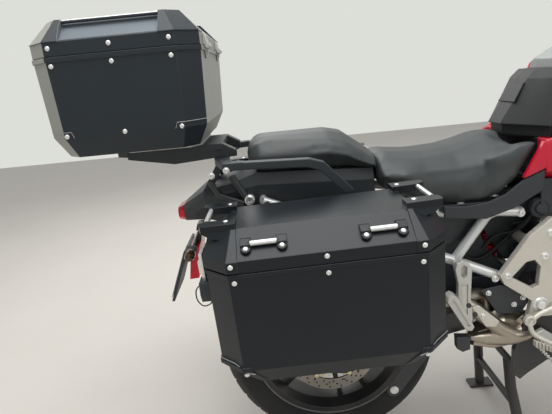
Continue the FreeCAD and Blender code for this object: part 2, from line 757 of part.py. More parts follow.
# Radiator in front of the forward cylinder, hung from the frame by two stays.
radiator = Piece("radiator")
radiator.pad("Y", -165.0, 165.0,
             [(v.pivot_x + 650.0, v.pivot_z - 20.0), (v.pivot_x + 688.0, v.pivot_z - 12.0),
              (v.pivot_x + 644.0, v.pivot_z + 236.0), (v.pivot_x + 606.0, v.pivot_z + 228.0)])
radiator.pad("Z", v.pivot_z + 222.0, 788.6, round_hole(1164.0, 50.0, 6.0), round_hole(1164.0, -50.0, 6.0))

# Bash plate under the crankcase.
bash_plate = Piece("bash_plate")
bash_plate.pad("Y", -92.0, 92.0,
               [(v.pivot_x + 120.0, v.pivot_z - 215.0), (v.pivot_x + 390.0, v.pivot_z - 225.0),
                (v.pivot_x + 492.0, v.pivot_z - 148.0), (v.pivot_x + 486.0, v.pivot_z - 142.0),
                (v.pivot_x + 386.0, v.pivot_z - 217.0), (v.pivot_x + 120.0, v.pivot_z - 207.0)])
for x, top in ((740.0, 298.0), (880.0, 288.2)):
    bash_plate.pad("Z", 258.0, top, round_hole(x, 60.0, 12.0), round_hole(x, -60.0, 12.0))

# Exhaust: headers down the front, along the right side to the collector box.
collector_y = -118.0
pipe_out = -132.0
joint_x = v.pivot_x + 34.0
header = tube([(v.pivot_x + 526.0, -30.0, v.pivot_z + 131.0), (v.pivot_x + 583.0, -30.0,
                                                               v.pivot_z + 164.0),
               (v.pivot_x + 585.0, -50.0, v.pivot_z + 40.0), (v.pivot_x + 530.0, -110.0,
                                                              v.pivot_z - 120.0),
               (v.pivot_x + 440.0, pipe_out, v.pivot_z - 209.0),
               (v.pivot_x + 140.0, pipe_out, v.pivot_z - 209.0),
               (v.pivot_x + 20.0, collector_y, v.pivot_z - 84.0)], 19.0, 70.0)
header = header.cut(Part.makeBox(120.0, 90.0, 160.0, vector(joint_x - 120.0, collector_y - 45.0, 300.0)))
spigot_top = 429.5
tail_pipe = tube([(424.0, -116.0, spigot_top + v.seat_gap), (424.0, -116.0, 496.0),
                  (344.0, -154.0, 497.0),
                  (262.0 + v.seat_gap, -154.0, 497.0)], 17.0, 40.0)
feature("exhaust_pipes", Part.makeCompound([header, tail_pipe]))

collector = Piece("collector_box")
collector.loft("Y", [(-149.0, [(384.0, 352.0), (440.0, 338.0), (556.0, 352.0), (548.0, 398.0),
                               (470.0, 418.0),
                               (396.0, 390.0)]),
                     (-118.0, [(372.0, 342.0), (440.0, 320.0), (578.0, 340.0), (566.0, 420.0),
                               (470.0, 446.0),
                               (386.0, 398.0)]),
                     (-90.0, [(384.0, 352.0), (440.0, 332.0), (560.0, 348.0), (548.0, 404.0),
                              (470.0, 424.0),
                              (396.0, 392.0)])])
collector.pad("X", joint_x - 24.0, joint_x - v.seat_gap, round_hole(collector_y, 376.0, 22.0))
collector.pad("Z", 396.0, spigot_top, round_hole(424.0, -116.0, 18.0))

silencer = Piece("silencer")
silencer.loft("X", [(-262.0, [(-196.0, 600.0), (-120.0, 590.0), (-112.0, 640.0), (-126.0, 690.0),
                              (-190.0, 690.0)]),
                    (-200.0, [(-203.0, 560.0), (-112.0, 552.0), (-106.0, 624.0), (-120.0, 684.0),
                              (-198.0, 684.0)]),
                    (200.0, [(-196.0, 470.0), (-122.0, 464.0), (-116.0, 510.0), (-128.0, 556.0),
                             (-188.0, 556.0)]),
                    (262.0, [(-176.0, 474.0), (-136.0, 470.0), (-132.0, 496.0), (-138.0, 520.0),
                             (-170.0, 520.0)])])

# Fuel tank, painted: widest at the rider's knees, with a step behind which the cover sits.
cover_foot = 907.0
fuel_tank = Piece("fuel_tank")
# Columns: x, low y and z, side y and z, outer top y and z, inner top y and z, foot y and z, crown y and
# z.
tank_table = ((545.0, 120.0, 800.0, 172.0, 826.0, 170.0, 890.0, 168.0, 900.0, 165.0, cover_foot, 60.0,
               cover_foot),
              (640.0, 150.0, 790.0, 205.0, 850.0, 186.0, 985.0, 170.0, 990.0, 164.0, cover_foot, 60.0,
               cover_foot),
              (648.0, 150.0, 790.0, 206.0, 852.0, 188.0, 1000.0, 124.0, 1080.0, 96.0, 1094.0, 60.0,
               1092.0),
              (730.0, 150.0, 790.0, 236.0, 880.0, 214.0, 1040.0, 134.0, 1122.0, 96.0, 1140.0, 60.0,
               1136.0),
              (810.0, 150.0, 796.0, 244.0, 900.0, 220.0, 1040.0, 134.0, 1100.0, 96.0, 1114.0, 60.0,
               1110.0),
              (900.0, 140.0, 848.0, 240.0, 920.0, 214.0, 1020.0, 124.0, 1066.0, 90.0, 1078.0, 60.0,
               1075.0),
              (1000.0, 118.0, 906.0, 214.0, 925.0, 196.0, 1000.0, 114.0, 1030.0, 80.0, 1042.0, 60.0,
               1040.0))
fuel_tank.loft("X", [(row[0], both_sides(list(zip(row[1::2], row[2::2])))) for row in tank_table])
fuel_tank.pad("Y", 158.0, 171.0, [(492.0, 816.0), (546.0, 838.0), (546.0, 900.0), (538.0, 903.0)])
fuel_tank.mirrored()
fuel_tank.pad("Z", 1120.0, 1146.0, round_hole(736.0, 0.0, 44.0))

# Dark cover at the tank's rear: a wedge that leans forward over a recessed band.
tank_cover = Piece("tank_cover")


def cover_plan(rear, crease, side, front, crease_half, side_half):
    """Plan of the cover, blunt at the rear, then a crease each side, then along the tank."""
    return [(rear, -crease_half / 2), (crease, -crease_half), (side, -side_half), (front, -side_half),
            (front, side_half), (side, side_half), (crease, crease_half), (rear, crease_half / 2)]


cover_edge = cover_foot + 28.0
tank_cover.pad("Z", cover_foot + v.seat_gap, cover_edge,
               cover_plan(500.0, 518.0, 562.0, 639.5, 64.0, 150.0))
tank_cover.loft("Z", [(cover_edge, cover_plan(492.0, 510.0, 556.0, 639.5, 68.0, 156.0)),
                      (1046.0, cover_plan(562.0, 574.0, 590.0, 639.5, 62.0, 116.0)),
                      (1068.0, cover_plan(584.0, 592.0, 604.0, 639.5, 50.0, 98.0))])

# Rider seat: a saddle that narrows to a raised nose, with lobes down each side of the tank.
rider_seat = Piece("rider_seat")
# Columns: x, low y and z, side y and z, shoulder y and z, crown y and z.
seat_table = ((150.0, 120.0, 814.0, 150.0, 850.0, 108.0, 882.0, 44.0, 896.0),
              (205.0, 140.0, 792.0, 168.0, 848.0, 112.0, 875.0, 44.0, 887.0),
              (v.seat_foot_x, 148.0, 766.0, 152.0, 852.0, 104.0, 872.0, 40.0, 881.0),
              (350.0, 152.0, 762.0, 146.0, 850.0, 92.0, 878.0, 36.0, 886.0),
              (400.0, 156.0, 764.0, 144.0, 852.0, 82.0, 890.0, 32.0, 898.0),
              (447.0, 160.0, 780.0, 148.0, 858.0, 72.0, 905.0, 28.0, 913.0),
              (490.0, 158.0, 818.0, 150.0, 872.0, 74.0, 900.0, 30.0, 926.0))
rider_seat.loft("X", [(row[0], both_sides(list(zip(row[1::2], row[2::2])))) for row in seat_table])
rider_seat.pad("Y", 118.0, 155.0, [(488.0, 820.0), (492.0, 818.0), (537.0, 902.0), (488.0, 900.0)])
rider_seat.mirrored()

# Passenger seat: a flat pad that slopes down to the rider seat in front.
passenger_seat = Piece("passenger_seat")
pillion_base = v.cowl_top + v.seat_gap
pillion_table = ((-178.0, 92.0, pillion_base + 8.0, 104.0, 916.0, 84.0, 942.0, 40.0, 947.0),
                 (-150.0, 104.0, pillion_base, 122.0, 918.0, 96.0, 950.0, 44.0, 960.0),
                 (30.0, 108.0, pillion_base, 130.0, 918.0, 102.0, 944.0, 46.0, 960.0),
                 (74.0, 106.0, pillion_base, 130.0, 906.0, 100.0, 932.0, 44.0, 950.0),
                 (149.5, 100.0, pillion_base - 14.0, 122.0, 858.0, 98.0, 880.0, 42.0, 893.0))
passenger_seat.loft("X", [(row[0], both_sides(list(zip(row[1::2], row[2::2])))) for row in pillion_table])

# Dark panels below the seat, and the red fairings from the tank to the front cowl.
side_panels = Piece("side_panels")
panel_in = v.plate_out - 9.0
side_panels.pad("Y", panel_in, panel_in + 7.0,
                [(298.0, 733.0), (402.0, 721.0), (470.0, 742.0), (543.0, 783.0), (543.0, 832.0),
                 (492.0, 811.0),
                 (449.0, 779.0), (404.0, 762.0), (350.0, 758.0), (298.0, 762.0)])
side_panels.pad("Y", v.plate_out - v.plate_thickness + v.seat_gap, panel_in,
                round_hole(412.0, 737.0, 8.0))
side_panels.mirrored()
side_fairings = Piece("side_fairings")
# Columns: x, then y and z of the panel's inner face at its low edge, its crease and its top edge.
fairing_table = ((736.0, 238.0, 884.0, 237.5, 930.0, 232.0, 972.0),
                 (850.0, 246.0, 800.0, 248.0, 900.0, 236.0, 1000.0),
                 (1000.0, 236.0, 742.0, 246.0, 862.0, 226.0, 1010.0),
                 (1150.0, 204.0, 742.0, 236.0, 872.0, 214.0, 1018.0),
                 (1290.0, 196.0, 850.0, 216.0, 930.0, 202.0, 1028.0),
                 (v.wheelbase - v.cowl_back - v.seat_gap, 176.0, 924.0, 192.0, 980.0, 170.0, 1040.0))
fairing_skin = 5.0


def fairing_section(low_y, low_z, mid_y, mid_z, top_y, top_z):
    return [(low_y, low_z), (low_y + fairing_skin, low_z), (mid_y + fairing_skin, mid_z),
            (top_y + fairing_skin, top_z), (top_y, top_z), (mid_y, mid_z)]


side_fairings.loft("X", [(row[0], fairing_section(*row[1:])) for row in fairing_table])
side_fairings.mirrored()

# Front cowl with its beak, twin lamps let into its face, and the screen on its flat top.
front_cowl = Piece("front_cowl")
cowl_back = v.wheelbase - v.cowl_back
front_cowl.loft("X", [(cowl_back, both_sides([(150.0, 905.0), (192.0, 980.0), (170.0, 1046.0),
                                              (112.0, v.screen_foot)])),
                      (cowl_back + 60.0, both_sides([(138.0, 880.0), (176.0, 965.0), (150.0, 1044.0),
                                                     (98.0, v.screen_foot)])),
                      (cowl_back + 140.0, both_sides([(98.0, 868.0), (122.0, 925.0), (98.0, 990.0),
                                                      (66.0, 1004.0)])),
                      (cowl_back + 226.0, both_sides([(58.0, 872.0), (70.0, 888.0), (58.0, 908.0),
                                                      (38.0, 914.0)]))])
lamp_outline = [(26.0, 896.0), (84.0, 912.0), (96.0, 948.0), (34.0, 940.0)]
lamp_face = cowl_back + 124.0
for side in (-1.0, 1.0):
    front_cowl.cut("X", lamp_face - 30.0, lamp_face + 120.0, [(y * side, z) for y, z in lamp_outline])
headlamp = Piece("headlamp")
lens_outline = [(27.0, 897.5), (83.5, 912.8), (94.5, 947.0), (34.8, 939.2)]
for side in (-1.0, 1.0):
    headlamp.pad("X", lamp_face - 30.0 + v.seat_gap, lamp_face, [(y * side, z) for y, z in lens_outline])
windscreen = Piece("windscreen")
screen_thickness = 4.0


screen_table = ((v.screen_foot + v.seat_gap, v.wheelbase - 132.0, 128.0),
                (1250.0, v.wheelbase - 196.0, 176.0),
                (v.screen_top, v.wheelbase - 300.0, 112.0))
screen_sections = []
for height, edge_x, half in screen_table:
    screen_sections.append((height, [(edge_x, -half), (edge_x, half, -v.screen_radius),
                                     (edge_x - screen_thickness, half),
                                     (edge_x - screen_thickness, -half, v.screen_radius)]))
windscreen.loft("Z", screen_sections)
instrument = Piece("instrument", cowl_back, v.screen_foot)
instrument.pad("Y", -v.instrument_half, v.instrument_half, [(-62.0, 6.0), (-46.0, 1.0), (-14.0, 84.0),
                                                            (-30.0, 92.0)])
instrument.pad("Y", -24.0, 24.0, [(-48.0, v.seat_gap), (20.0, v.seat_gap), (16.0, 14.0), (-40.0, 18.0)])

# Tail: a faceted cowl, the lamp in its end and the plate holder below.
tail_cowl = Piece("tail_cowl")
# Columns: x, low y and z, side y and z, shoulder y and z, top y and z.
tail_table = ((v.tail_end, 30.0, 752.0, 44.0, 764.0, 46.0, 786.0, 34.0, 798.0),
              (v.strut_rear, 60.0, 758.0, 88.0, 800.0, 92.0, 826.0, 84.0, v.tail_deck),
              (-240.0, 74.0, 742.0, 98.0, 795.0, 104.0, 836.0, 92.0, v.tail_deck + 12.0),
              (-160.0, 80.0, 745.0, 98.0, 800.0, 104.0, 848.0, 94.0, v.cowl_top),
              (v.cowl_front, 80.0, 756.0, 104.0, 800.0, 104.0, 836.0, 92.0, v.cowl_top - 16.0))
tail_cowl.loft("X", [(row[0], both_sides(list(zip(row[1::2], row[2::2])))) for row in tail_table])
tail_light = Piece("tail_light")
light_face = v.tail_end - v.seat_gap
tail_light.loft("X", [(light_face, both_sides([(29.0, 753.0), (43.0, 764.5), (45.0, 785.5),
                                               (33.0, 797.0)])),
                      (light_face - 18.0, both_sides([(24.0, 757.0), (36.0, 766.0), (38.0, 782.0),
                                                      (28.0, 790.0)]))])
plate_holder = Piece("plate_holder")
plate_holder.loft("Y", [(side * 34.0, [(-318.0, 756.4), (-352.0, 700.0), (-366.0, 640.0), (-358.0, 640.0),
                                       (-342.0, 698.0), (-296.0, 756.0 - v.seat_gap)]) for side in (-1.0,
                                                                                                    1.0)])
plate_holder.pad("Y", -80.0, 80.0, [(-374.0, 676.0), (-381.0, 678.0), (-434.0, 536.0), (-427.0, 534.0)])
plate_holder.pad("Y", -30.0, 30.0, [(-360.0, 690.0), (-382.0, 668.0), (-376.0, 640.0), (-358.0, 640.0)])
for side in (-1.0, 1.0):
    low, high = sorted((side * 30.0, side * 128.0), key=float)
    plate_holder.pad("Y", low, high, round_hole(-352.0, 690.0, 6.0))
    low, high = sorted((side * 96.0, side * 140.0), key=float)
    plate_holder.pad("Y", low, high, [(-372.0, 680.0), (-340.0, 684.0), (-340.0, 698.0), (-366.0, 700.0)])

# Grab rails: flat bars along the passenger seat, bent down in front and in to the rack behind.
grab_rails = Piece("grab_rails")
rail_in = v.grab_out - 28.0
grab_rails.pad("Y", rail_in, v.grab_out,
               [(-234.0, 911.0), (-234.0, 928.0), (-186.0, 927.0), (-30.0, 921.0), (4.0, 910.0),
                (26.0, 886.0),
                (72.0, 836.0), (54.0, 826.0), (8.0, 876.0), (-8.0, 892.0), (-38.0, 902.0),
                (-186.0, 910.0)])
grab_rails.pad("Z", 911.0, 928.0,
               [(-262.0, 0.0), (-262.0, 108.0), (-232.0, v.grab_out), (-186.0, v.grab_out),
                (-186.0, rail_in),
                (-212.0, rail_in - 10.0), (-232.0, 96.0), (-232.0, 0.0)])
strut_low = v.tail_deck + v.seat_gap
strut_slope = 12.0 / (-240.0 - v.strut_rear)
grab_rails.pad("Y", 62.0, 84.0,
               [(v.strut_rear, strut_low), (v.strut_rear + 24.0, strut_low + strut_slope * 24.0),
                (-236.0, 912.0),
                (-260.0, 912.0)])
# The front foot of each rail reaches in to the subframe.
grab_rails.pad("Y", 120.0, rail_in + 10.0, round_hole(60.0, 836.0, 7.0))
grab_rails.mirrored()

# Case rack on the rails, and the plate that the top case clips to.
case_rack = Piece("case_rack")
deck_top = v.top_case_bottom - v.seat_gap - v.rack_plate - v.seat_gap
case_rack.pad("Z", deck_top - 16.0, deck_top,
              [(-514.0, -66.0), (-470.0, -96.0), (-240.0, -104.0), (-240.0, 104.0), (-470.0, 96.0),
               (-514.0, 66.0)])
case_rack.cut("Z", deck_top - 17.0, deck_top + 1.0,
              [(-440.0, -60.0), (-300.0, -66.0), (-300.0, 66.0), (-440.0, 60.0)])
case_rack.pad("Y", 72.0, 100.0,
              [(-480.0, deck_top - 20.0), (-364.0, deck_top - 42.0), (-262.0, 928.0 + v.seat_gap),
               (-206.0, 928.0 + v.seat_gap), (-206.0, 944.0), (-240.0, deck_top), (-480.0, deck_top)])
case_rack.mirrored()
rack_plate = Piece("rack_plate")
rack_plate.pad("Z", deck_top + v.seat_gap, v.top_case_bottom - v.seat_gap,
               [(-482.0, -104.0), (-462.0, -122.0), (-312.0, -122.0), (-289.0, -96.0), (-289.0, 96.0),
                (-312.0, 122.0),
                (-462.0, 122.0), (-482.0, 104.0)])


# Side cases. Heights are from the seam, about which each case leans back a little.

def facing_out(side, outline):
    """An outline drawn for the left case, as it is on the side given."""
    return outline if side > 0 else [(across, -y) for across, y in outline][::-1]


def facing_ends(side, outline):
    return outline if side > 0 else [(-y, z) for y, z in outline][::-1]


def case_plan(side, end, slope, corner, inner=0.0):
    """Plan of a case wall: square towards the bike, with cut corners outside."""
    half = v.pannier_half - end
    out = v.pannier_out - slope
    near = v.pannier_in - 10.0 + inner
    return facing_out(side, [(-half, near), (half, near), (half, out - corner), (half - corner, out),
                             (-half + corner, out), (-half, out - corner)])


def spread(low, high, side):
    """The span from low to high on the side given, lowest first."""
    return (low, high) if side > 0 else (-high, -low)


knuckle = 19.5
hinge_out = v.pannier_half + v.hinge_radius + v.hinge_stand
hinge_mid = (v.pannier_in + v.pannier_out) / 2 - 12.0
crease_z = v.pannier_crease - v.pannier_seam
floor_z = v.pannier_bottom - v.pannier_seam


def knuckles(piece, side, up, spans):
    """Hinge barrels round the pin line, each with a leaf to the wall on its own side of the seam."""
    for low, high in spans:
        low, high = spread(hinge_mid + low, hinge_mid + high, side)
        piece.pad("Y", low, high, round_hole(hinge_out, 0.0, v.hinge_radius))
        piece.pad("Y", low, high, [(v.pannier_half - 1.0, up * 20.0), (v.pannier_half - 1.0, up * 4.0),
                                   (hinge_out, up * 1.0), (hinge_out + v.hinge_radius - 1.0, up * 1.0),
                                   (hinge_out, up * 8.0), (v.pannier_half + 3.0, up * 20.0)])


def case_box(piece, side):
    high = -v.lid_gap / 2
    piece.loft("Z", [(floor_z, case_plan(side, 46.0, 26.0, 38.0, 8.0)), (crease_z,
                                                                         case_plan(side, 3.0, 2.0, 47.0)),
                     (high, case_plan(side, 0.0, 0.0, v.pannier_corner))])
    piece.hollow("Z", [(floor_z + v.case_wall, case_plan(side, 46.0 + v.case_wall, 26.0 + v.case_wall,
                                                         36.0, 10.0)),
                       (crease_z, case_plan(side, 3.0 + v.case_wall, 2.0 + v.case_wall, 46.0,
                                            v.case_wall)),
                       (high + 1.0, case_plan(side, v.case_wall, v.case_wall, v.pannier_corner - 1.0,
                                              v.case_wall))])
    # A bead round the rim, and brackets round the lower corners.
    rim_out = -v.rim_bead
    piece.pad("Z", high - v.bead_height, high, case_plan(side, rim_out, rim_out, v.pannier_corner,
                                                         rim_out),
              case_plan(side, 1.0, 1.0, v.pannier_corner - 1.0, 1.0))
    for end in (-1.0, 1.0):
        corner = [((v.pannier_half - 66.0) * end, v.pannier_out + 0.5),
                  ((v.pannier_half - 47.0) * end, v.pannier_out + 0.5),
                  ((v.pannier_half + 0.5) * end, v.pannier_out - 47.0),
                  ((v.pannier_half + 0.5) * end, v.pannier_out - 86.0),
                  ((v.pannier_half - 8.0) * end, v.pannier_out - 86.0),
                  ((v.pannier_half - 66.0) * end, v.pannier_out - 8.0)]
        foot = [((v.pannier_half - 96.0) * end, v.pannier_out - 24.5),
                ((v.pannier_half - 82.0) * end, v.pannier_out - 24.5),
                ((v.pannier_half - 44.5) * end, v.pannier_out - 62.0),
                ((v.pannier_half - 44.5) * end, v.pannier_out - 90.0),
                ((v.pannier_half - 52.0) * end, v.pannier_out - 90.0),
                ((v.pannier_half - 96.0) * end, v.pannier_out - 32.0)]
        piece.loft("Z", [(floor_z + 1.0, facing_out(side, foot)), (crease_z - 1.0,
                                                                   facing_out(side, corner)),
                         (crease_z + 8.0, facing_out(side, corner))])
    knuckles(piece, side, -1.0, [(-knuckle, knuckle)])
    low, high_y = spread(hinge_mid - 14.0, hinge_mid + 14.0, side)
    latch_wall = -v.pannier_half - v.rim_bead
    piece.pad("Y", low, high_y, [(latch_wall + 4.0, -78.0), (latch_wall + 4.0, -12.0),
                                 (latch_wall - 2.0, -3.0),
                                 (latch_wall - 9.0, -3.0), (latch_wall - 9.0, -60.0),
                                 (latch_wall - 4.0, -78.0)])


def case_lid(name, side):
    piece = Piece(name, v.pannier_middle, v.pannier_seam, -v.pannier_lean)
    low = v.lid_gap / 2
    wall = v.pannier_lid_wall
    top = v.pannier_lid_top - v.pannier_seam
    end = v.pannier_end_slope
    piece.loft("Z", [(low, case_plan(side, 0.0, 0.0, v.pannier_corner)),
                     (wall, case_plan(side, 0.0, 0.0, v.pannier_corner)),
                     (top, case_plan(side, end, v.pannier_slope, v.pannier_half - end - v.ridge_half,
                                     10.0))])
    thick = v.case_wall
    piece.hollow("Z", [(low - 1.0, case_plan(side, thick, thick, v.pannier_corner - 1.0, thick)),
                       (wall, case_plan(side, thick, thick, v.pannier_corner - 1.0, thick)),
                       (top - thick, case_plan(side, end + thick, v.pannier_slope + thick,
                                               v.pannier_half - end - v.ridge_half, 10.0 + thick))])
    # Corner brackets: each wraps an outer corner and ends above in an ear that holds the end rod.
    out = v.pannier_out
    half = v.pannier_half
    ridge = out - v.pannier_slope
    for lay in (-1.0, 1.0):
        wrap = [((half - 69.0) * lay, out + 2.5), ((half - 46.8) * lay, out + 2.5),
                ((half + 2.5) * lay, out - 46.8),
                ((half + 2.5) * lay, out - 84.0), ((half - 6.0) * lay, out - 84.0),
                ((half - 69.0) * lay, out - 6.0)]
        crown = [((half - 69.0) * lay, ridge + 2.5), ((half - 60.0) * lay, ridge + 2.5),
                 ((half - 14.0) * lay, ridge - 36.0),
                 ((half - 14.0) * lay, ridge - 50.0), ((half - 24.0) * lay, ridge - 50.0),
                 ((half - 69.0) * lay, ridge - 8.0)]
        piece.loft("Z", [(5.0, facing_out(side, wrap)), (wall, facing_out(side, wrap)),
                         (top + 2.5, facing_out(side, crown))])
        ear = [((half - 69.0) * lay, ridge - 34.0), ((half + 1.0) * lay, ridge - 30.0),
               ((half + 5.0) * lay, ridge - 12.0),
               ((half + 1.0) * lay, ridge + 2.0), ((half - 60.0) * lay, ridge + 5.0),
               ((half - 69.0) * lay, ridge + 5.0)]
        piece.loft("Z", [(top - 16.0, facing_out(side, [((half - 69.0) * lay, ridge - 28.0),
                                                        ((half - 26.0) * lay, ridge - 26.0),
                                                        ((half - 16.0) * lay, ridge - 12.0),
                                                        ((half - 20.0) * lay, ridge + 6.0),
                                                        ((half - 60.0) * lay, ridge + 8.0),
                                                        ((half - 69.0) * lay, ridge + 8.0)])),
                         (top - 3.0, facing_out(side, ear)), (top + v.ear_rise, facing_out(side, ear))])
        near = v.pannier_in
        cap = [((half - 64.0) * lay, near - 6.0), ((half + 10.0) * lay, near - 6.0),
               ((half + 10.0) * lay, near + 18.0),
               ((half - 10.0) * lay, near + 30.0), ((half - 64.0) * lay, near + 34.0)]
        piece.pad("Z", top - 4.0, top + v.ear_rise, facing_out(side, cap))
        low_y, high_y = spread(near + 10.0, ridge - 20.0, side)
        piece.pad("Y", low_y, high_y, round_hole((half - 6.0) * lay, top + v.ear_rise - 6.0, v.lid_rod))
    # Tie-down loops on the long slope: a block each end and a bar between.
    slope_mid_y = out - v.pannier_slope / 2
    slope_mid_z = (wall + top) / 2
    loop = [(slope_mid_y - 1.0, slope_mid_z - 14.0), (slope_mid_y + 17.0, slope_mid_z - 13.0),
            (slope_mid_y + 15.0, slope_mid_z + 3.0),
            (slope_mid_y + 1.0, slope_mid_z + 11.0), (slope_mid_y - 14.0, slope_mid_z + 8.0)]
    for middle in (-117.0, 114.0):
        for block in (-35.0, 35.0):
            piece.pad("X", middle + block - 10.0, middle + block + 10.0, facing_ends(side, loop))
        bar_y = (slope_mid_y + 9.0) * side
        piece.pad("X", middle - 30.0, middle + 30.0, round_hole(bar_y, slope_mid_z + 3.0, v.lid_rod))
    # The rear end's latch closes over a hook.
    latch_low, latch_high = spread(hinge_mid - 14.0, hinge_mid + 14.0, side)
    piece.pad("Y", latch_low, latch_high, [(-half + 2.0, 3.0), (-half + 2.0, 25.0), (-half - 4.0, 28.0),
                                           (-half - 11.0, 20.0), (-half - 11.0, 3.0)])
    knuckles(piece, side, 1.0, [(-knuckle - 22.0, -knuckle - v.seat_gap),
                                (knuckle + v.seat_gap, knuckle + 22.0)])
    return piece


pannier_shells = Piece("pannier_shells", v.pannier_middle, v.pannier_seam, -v.pannier_lean)
case_box(pannier_shells, 1.0)
pin_low, pin_high = spread(hinge_mid - knuckle - 1.0, hinge_mid + knuckle + 1.0, 1.0)
pannier_shells.cut("Y", pin_low, pin_high, round_hole(hinge_out, 0.0, v.hinge_pin + v.running_gap))
pannier_shells.mirrored()
for lid_name, side in (("pannier_lid_left", 1.0), ("pannier_lid_right", -1.0)):
    lid = case_lid(lid_name, side)
    pin_low, pin_high = spread(hinge_mid - knuckle - 22.0, hinge_mid + knuckle + 22.0, side)
    lid.pad("Y", pin_low, pin_high, round_hole(hinge_out, 0.0, v.hinge_pin))


# Top case, whose walls lean in towards its floor.

def top_plan(inset, slope):
    half = v.top_case_half - inset - slope
    side = v.top_case_side - inset - slope
    cut = v.top_case_corner - inset * 0.5 - slope * 0.4
    return [(half, -side + cut), (half, side - cut), (half - cut, side), (-half + cut, side),
            (-half, side - cut), (-half, -side + cut), (-half + cut, -side), (half - cut, -side)]


top_case_shell = Piece("top_case_shell", v.top_case_middle, v.top_case_seam)
top_floor = v.top_case_bottom - v.top_case_seam
top_seam = -v.lid_gap / 2
top_case_shell.loft("Z", [(top_floor, top_plan(0.0, 32.0)), (top_floor + 46.0, top_plan(0.0, 8.0)),
                          (top_seam, top_plan(0.0, 0.0))])
top_case_shell.hollow("Z", [(top_floor + v.case_wall, top_plan(v.case_wall, 32.0)),
                            (top_floor + 46.0, top_plan(v.case_wall, 8.0)),
                            (top_seam + 1.0, top_plan(v.case_wall, 0.0))])
top_case_shell.pad("Z", top_seam - v.bead_height - 3.0, top_seam, top_plan(-v.rim_bead, 0.0),
                   top_plan(1.0, 0.0))
top_case_lid = Piece("top_case_lid", v.top_case_middle, v.top_case_seam)
top_low = v.lid_gap / 2
top_wall = v.top_case_lid_wall
top_high = v.top_case_lid_top - v.top_case_seam
top_case_lid.loft("Z", [(top_low, top_plan(0.0, 0.0)), (top_wall, top_plan(0.0, 0.0)),
                        (top_high, top_plan(0.0, v.top_case_slope))])
# Long recesses along both sides of the lid, each with a rod above it between two corner caps.
panel_half = v.top_case_half - v.top_case_corner - 33.0
lid_side = v.top_case_side - v.top_case_slope
for side in (-1.0, 1.0):
    groove = [((v.top_case_side + 1.0) * side, top_wall + 3.0),
              ((v.top_case_side - 9.0) * side, top_wall + 3.0),
              ((lid_side - 3.0) * side, top_high - 9.0), ((lid_side - 3.0) * side, top_high + 1.0),
              ((v.top_case_side + 1.0) * side, top_high + 1.0)]
    top_case_lid.cut("X", -panel_half, panel_half, groove)
    top_case_lid.pad("X", -panel_half - 20.0, panel_half + 20.0,
                     round_hole((lid_side + 3.2) * side, top_high - 2.0, v.lid_rod))
    for lay in (-1.0, 1.0):
        cap_low = [(panel_half * lay, (v.top_case_side + 2.0) * side),
                   ((v.top_case_half - v.top_case_corner + 1.0) * lay, (v.top_case_side + 2.0) * side),
                   ((v.top_case_half + 2.0) * lay, (v.top_case_side - v.top_case_corner + 1.0) * side),
                   ((v.top_case_half + 2.0) * lay, (v.top_case_side - 95.0) * side),
                   (panel_half * lay, (v.top_case_side - 95.0) * side)]
        cap_high = [(panel_half * lay, (lid_side + 8.0) * side),
                    ((v.top_case_half - v.top_case_slope - 22.0) * lay, (lid_side + 8.0) * side),
                    ((v.top_case_half - v.top_case_slope + 6.0) * lay, (lid_side - 22.0) * side),
                    ((v.top_case_half - v.top_case_slope + 6.0) * lay, (lid_side - 50.0) * side),
                    (panel_half * lay, (lid_side - 50.0) * side)]
        if side * lay < 0:
            cap_low, cap_high = cap_low[::-1], cap_high[::-1]
        top_case_lid.loft("Z", [(top_wall + 0.5, cap_low), (top_high + v.cap_rise, cap_high)])
# The inside is cut last, so that it reaches up under the corner caps and leaves a wall at the recesses.
top_case_lid.hollow("Z", [(top_low - 1.0, top_plan(v.case_wall, 0.0)),
                          (top_wall - 4.0, top_plan(v.case_wall + 1.5, 0.0)),
                          (top_high - 16.0, top_plan(v.case_wall + 4.0, v.top_case_slope + 1.0))])

top_hinge_out = v.top_case_half + v.hinge_radius + v.hinge_stand
for low, high in ((-150.0, -110.3), (110.3, 150.0)):
    middle = (low + high) / 2
    for near, far, up, piece in ((-20.0, -7.0, 1.0, top_case_lid), (-6.7, 6.7, -1.0, top_case_shell),
                                 (7.0, 20.0, 1.0, top_case_lid)):
        piece.pad("Y", middle + near, middle + far, round_hole(top_hinge_out, 0.0, v.hinge_radius))
        piece.pad("Y", middle + near, middle + far,
                  [(v.top_case_half - 1.0, up * 26.0), (v.top_case_half - 1.0, up * 4.0),
                   (top_hinge_out, up * 1.0),
                   (top_hinge_out + v.hinge_radius - 1.0, up * 1.0), (top_hinge_out, up * 8.0),
                   (v.top_case_half + 4.0, up * 26.0)])
    top_case_shell.cut("Y", middle - 7.0, middle + 7.0, round_hole(top_hinge_out, 0.0,
                                                                   v.hinge_pin + v.running_gap))
    top_case_lid.pad("Y", middle - 20.0, middle + 20.0, round_hole(top_hinge_out, 0.0, v.hinge_pin))
# Two latches on the rear face: a plate on the lid over a hook on the shell.
for side in (-1.0, 1.0):
    low, high = sorted((side * 96.0, side * (96.0 + v.latch_width)), key=float)
    rear = -v.top_case_half - v.rim_bead
    top_case_lid.pad("Y", low, high, [(rear + 4.0, 4.0), (rear - 6.0, 4.0), (rear - 8.0, 16.0),
                                      (rear - 4.0, 25.0),
                                      (rear + 4.0, 25.0)])
    top_case_shell.pad("Y", low, high, [(rear + 6.0, -v.latch_height),
                                        (rear - 2.0, -v.latch_height + 6.0),
                                        (rear - v.latch_depth + v.rim_bead, -20.0), (rear - 8.0, -2.0),
                                        (rear + 4.0, -2.0)])

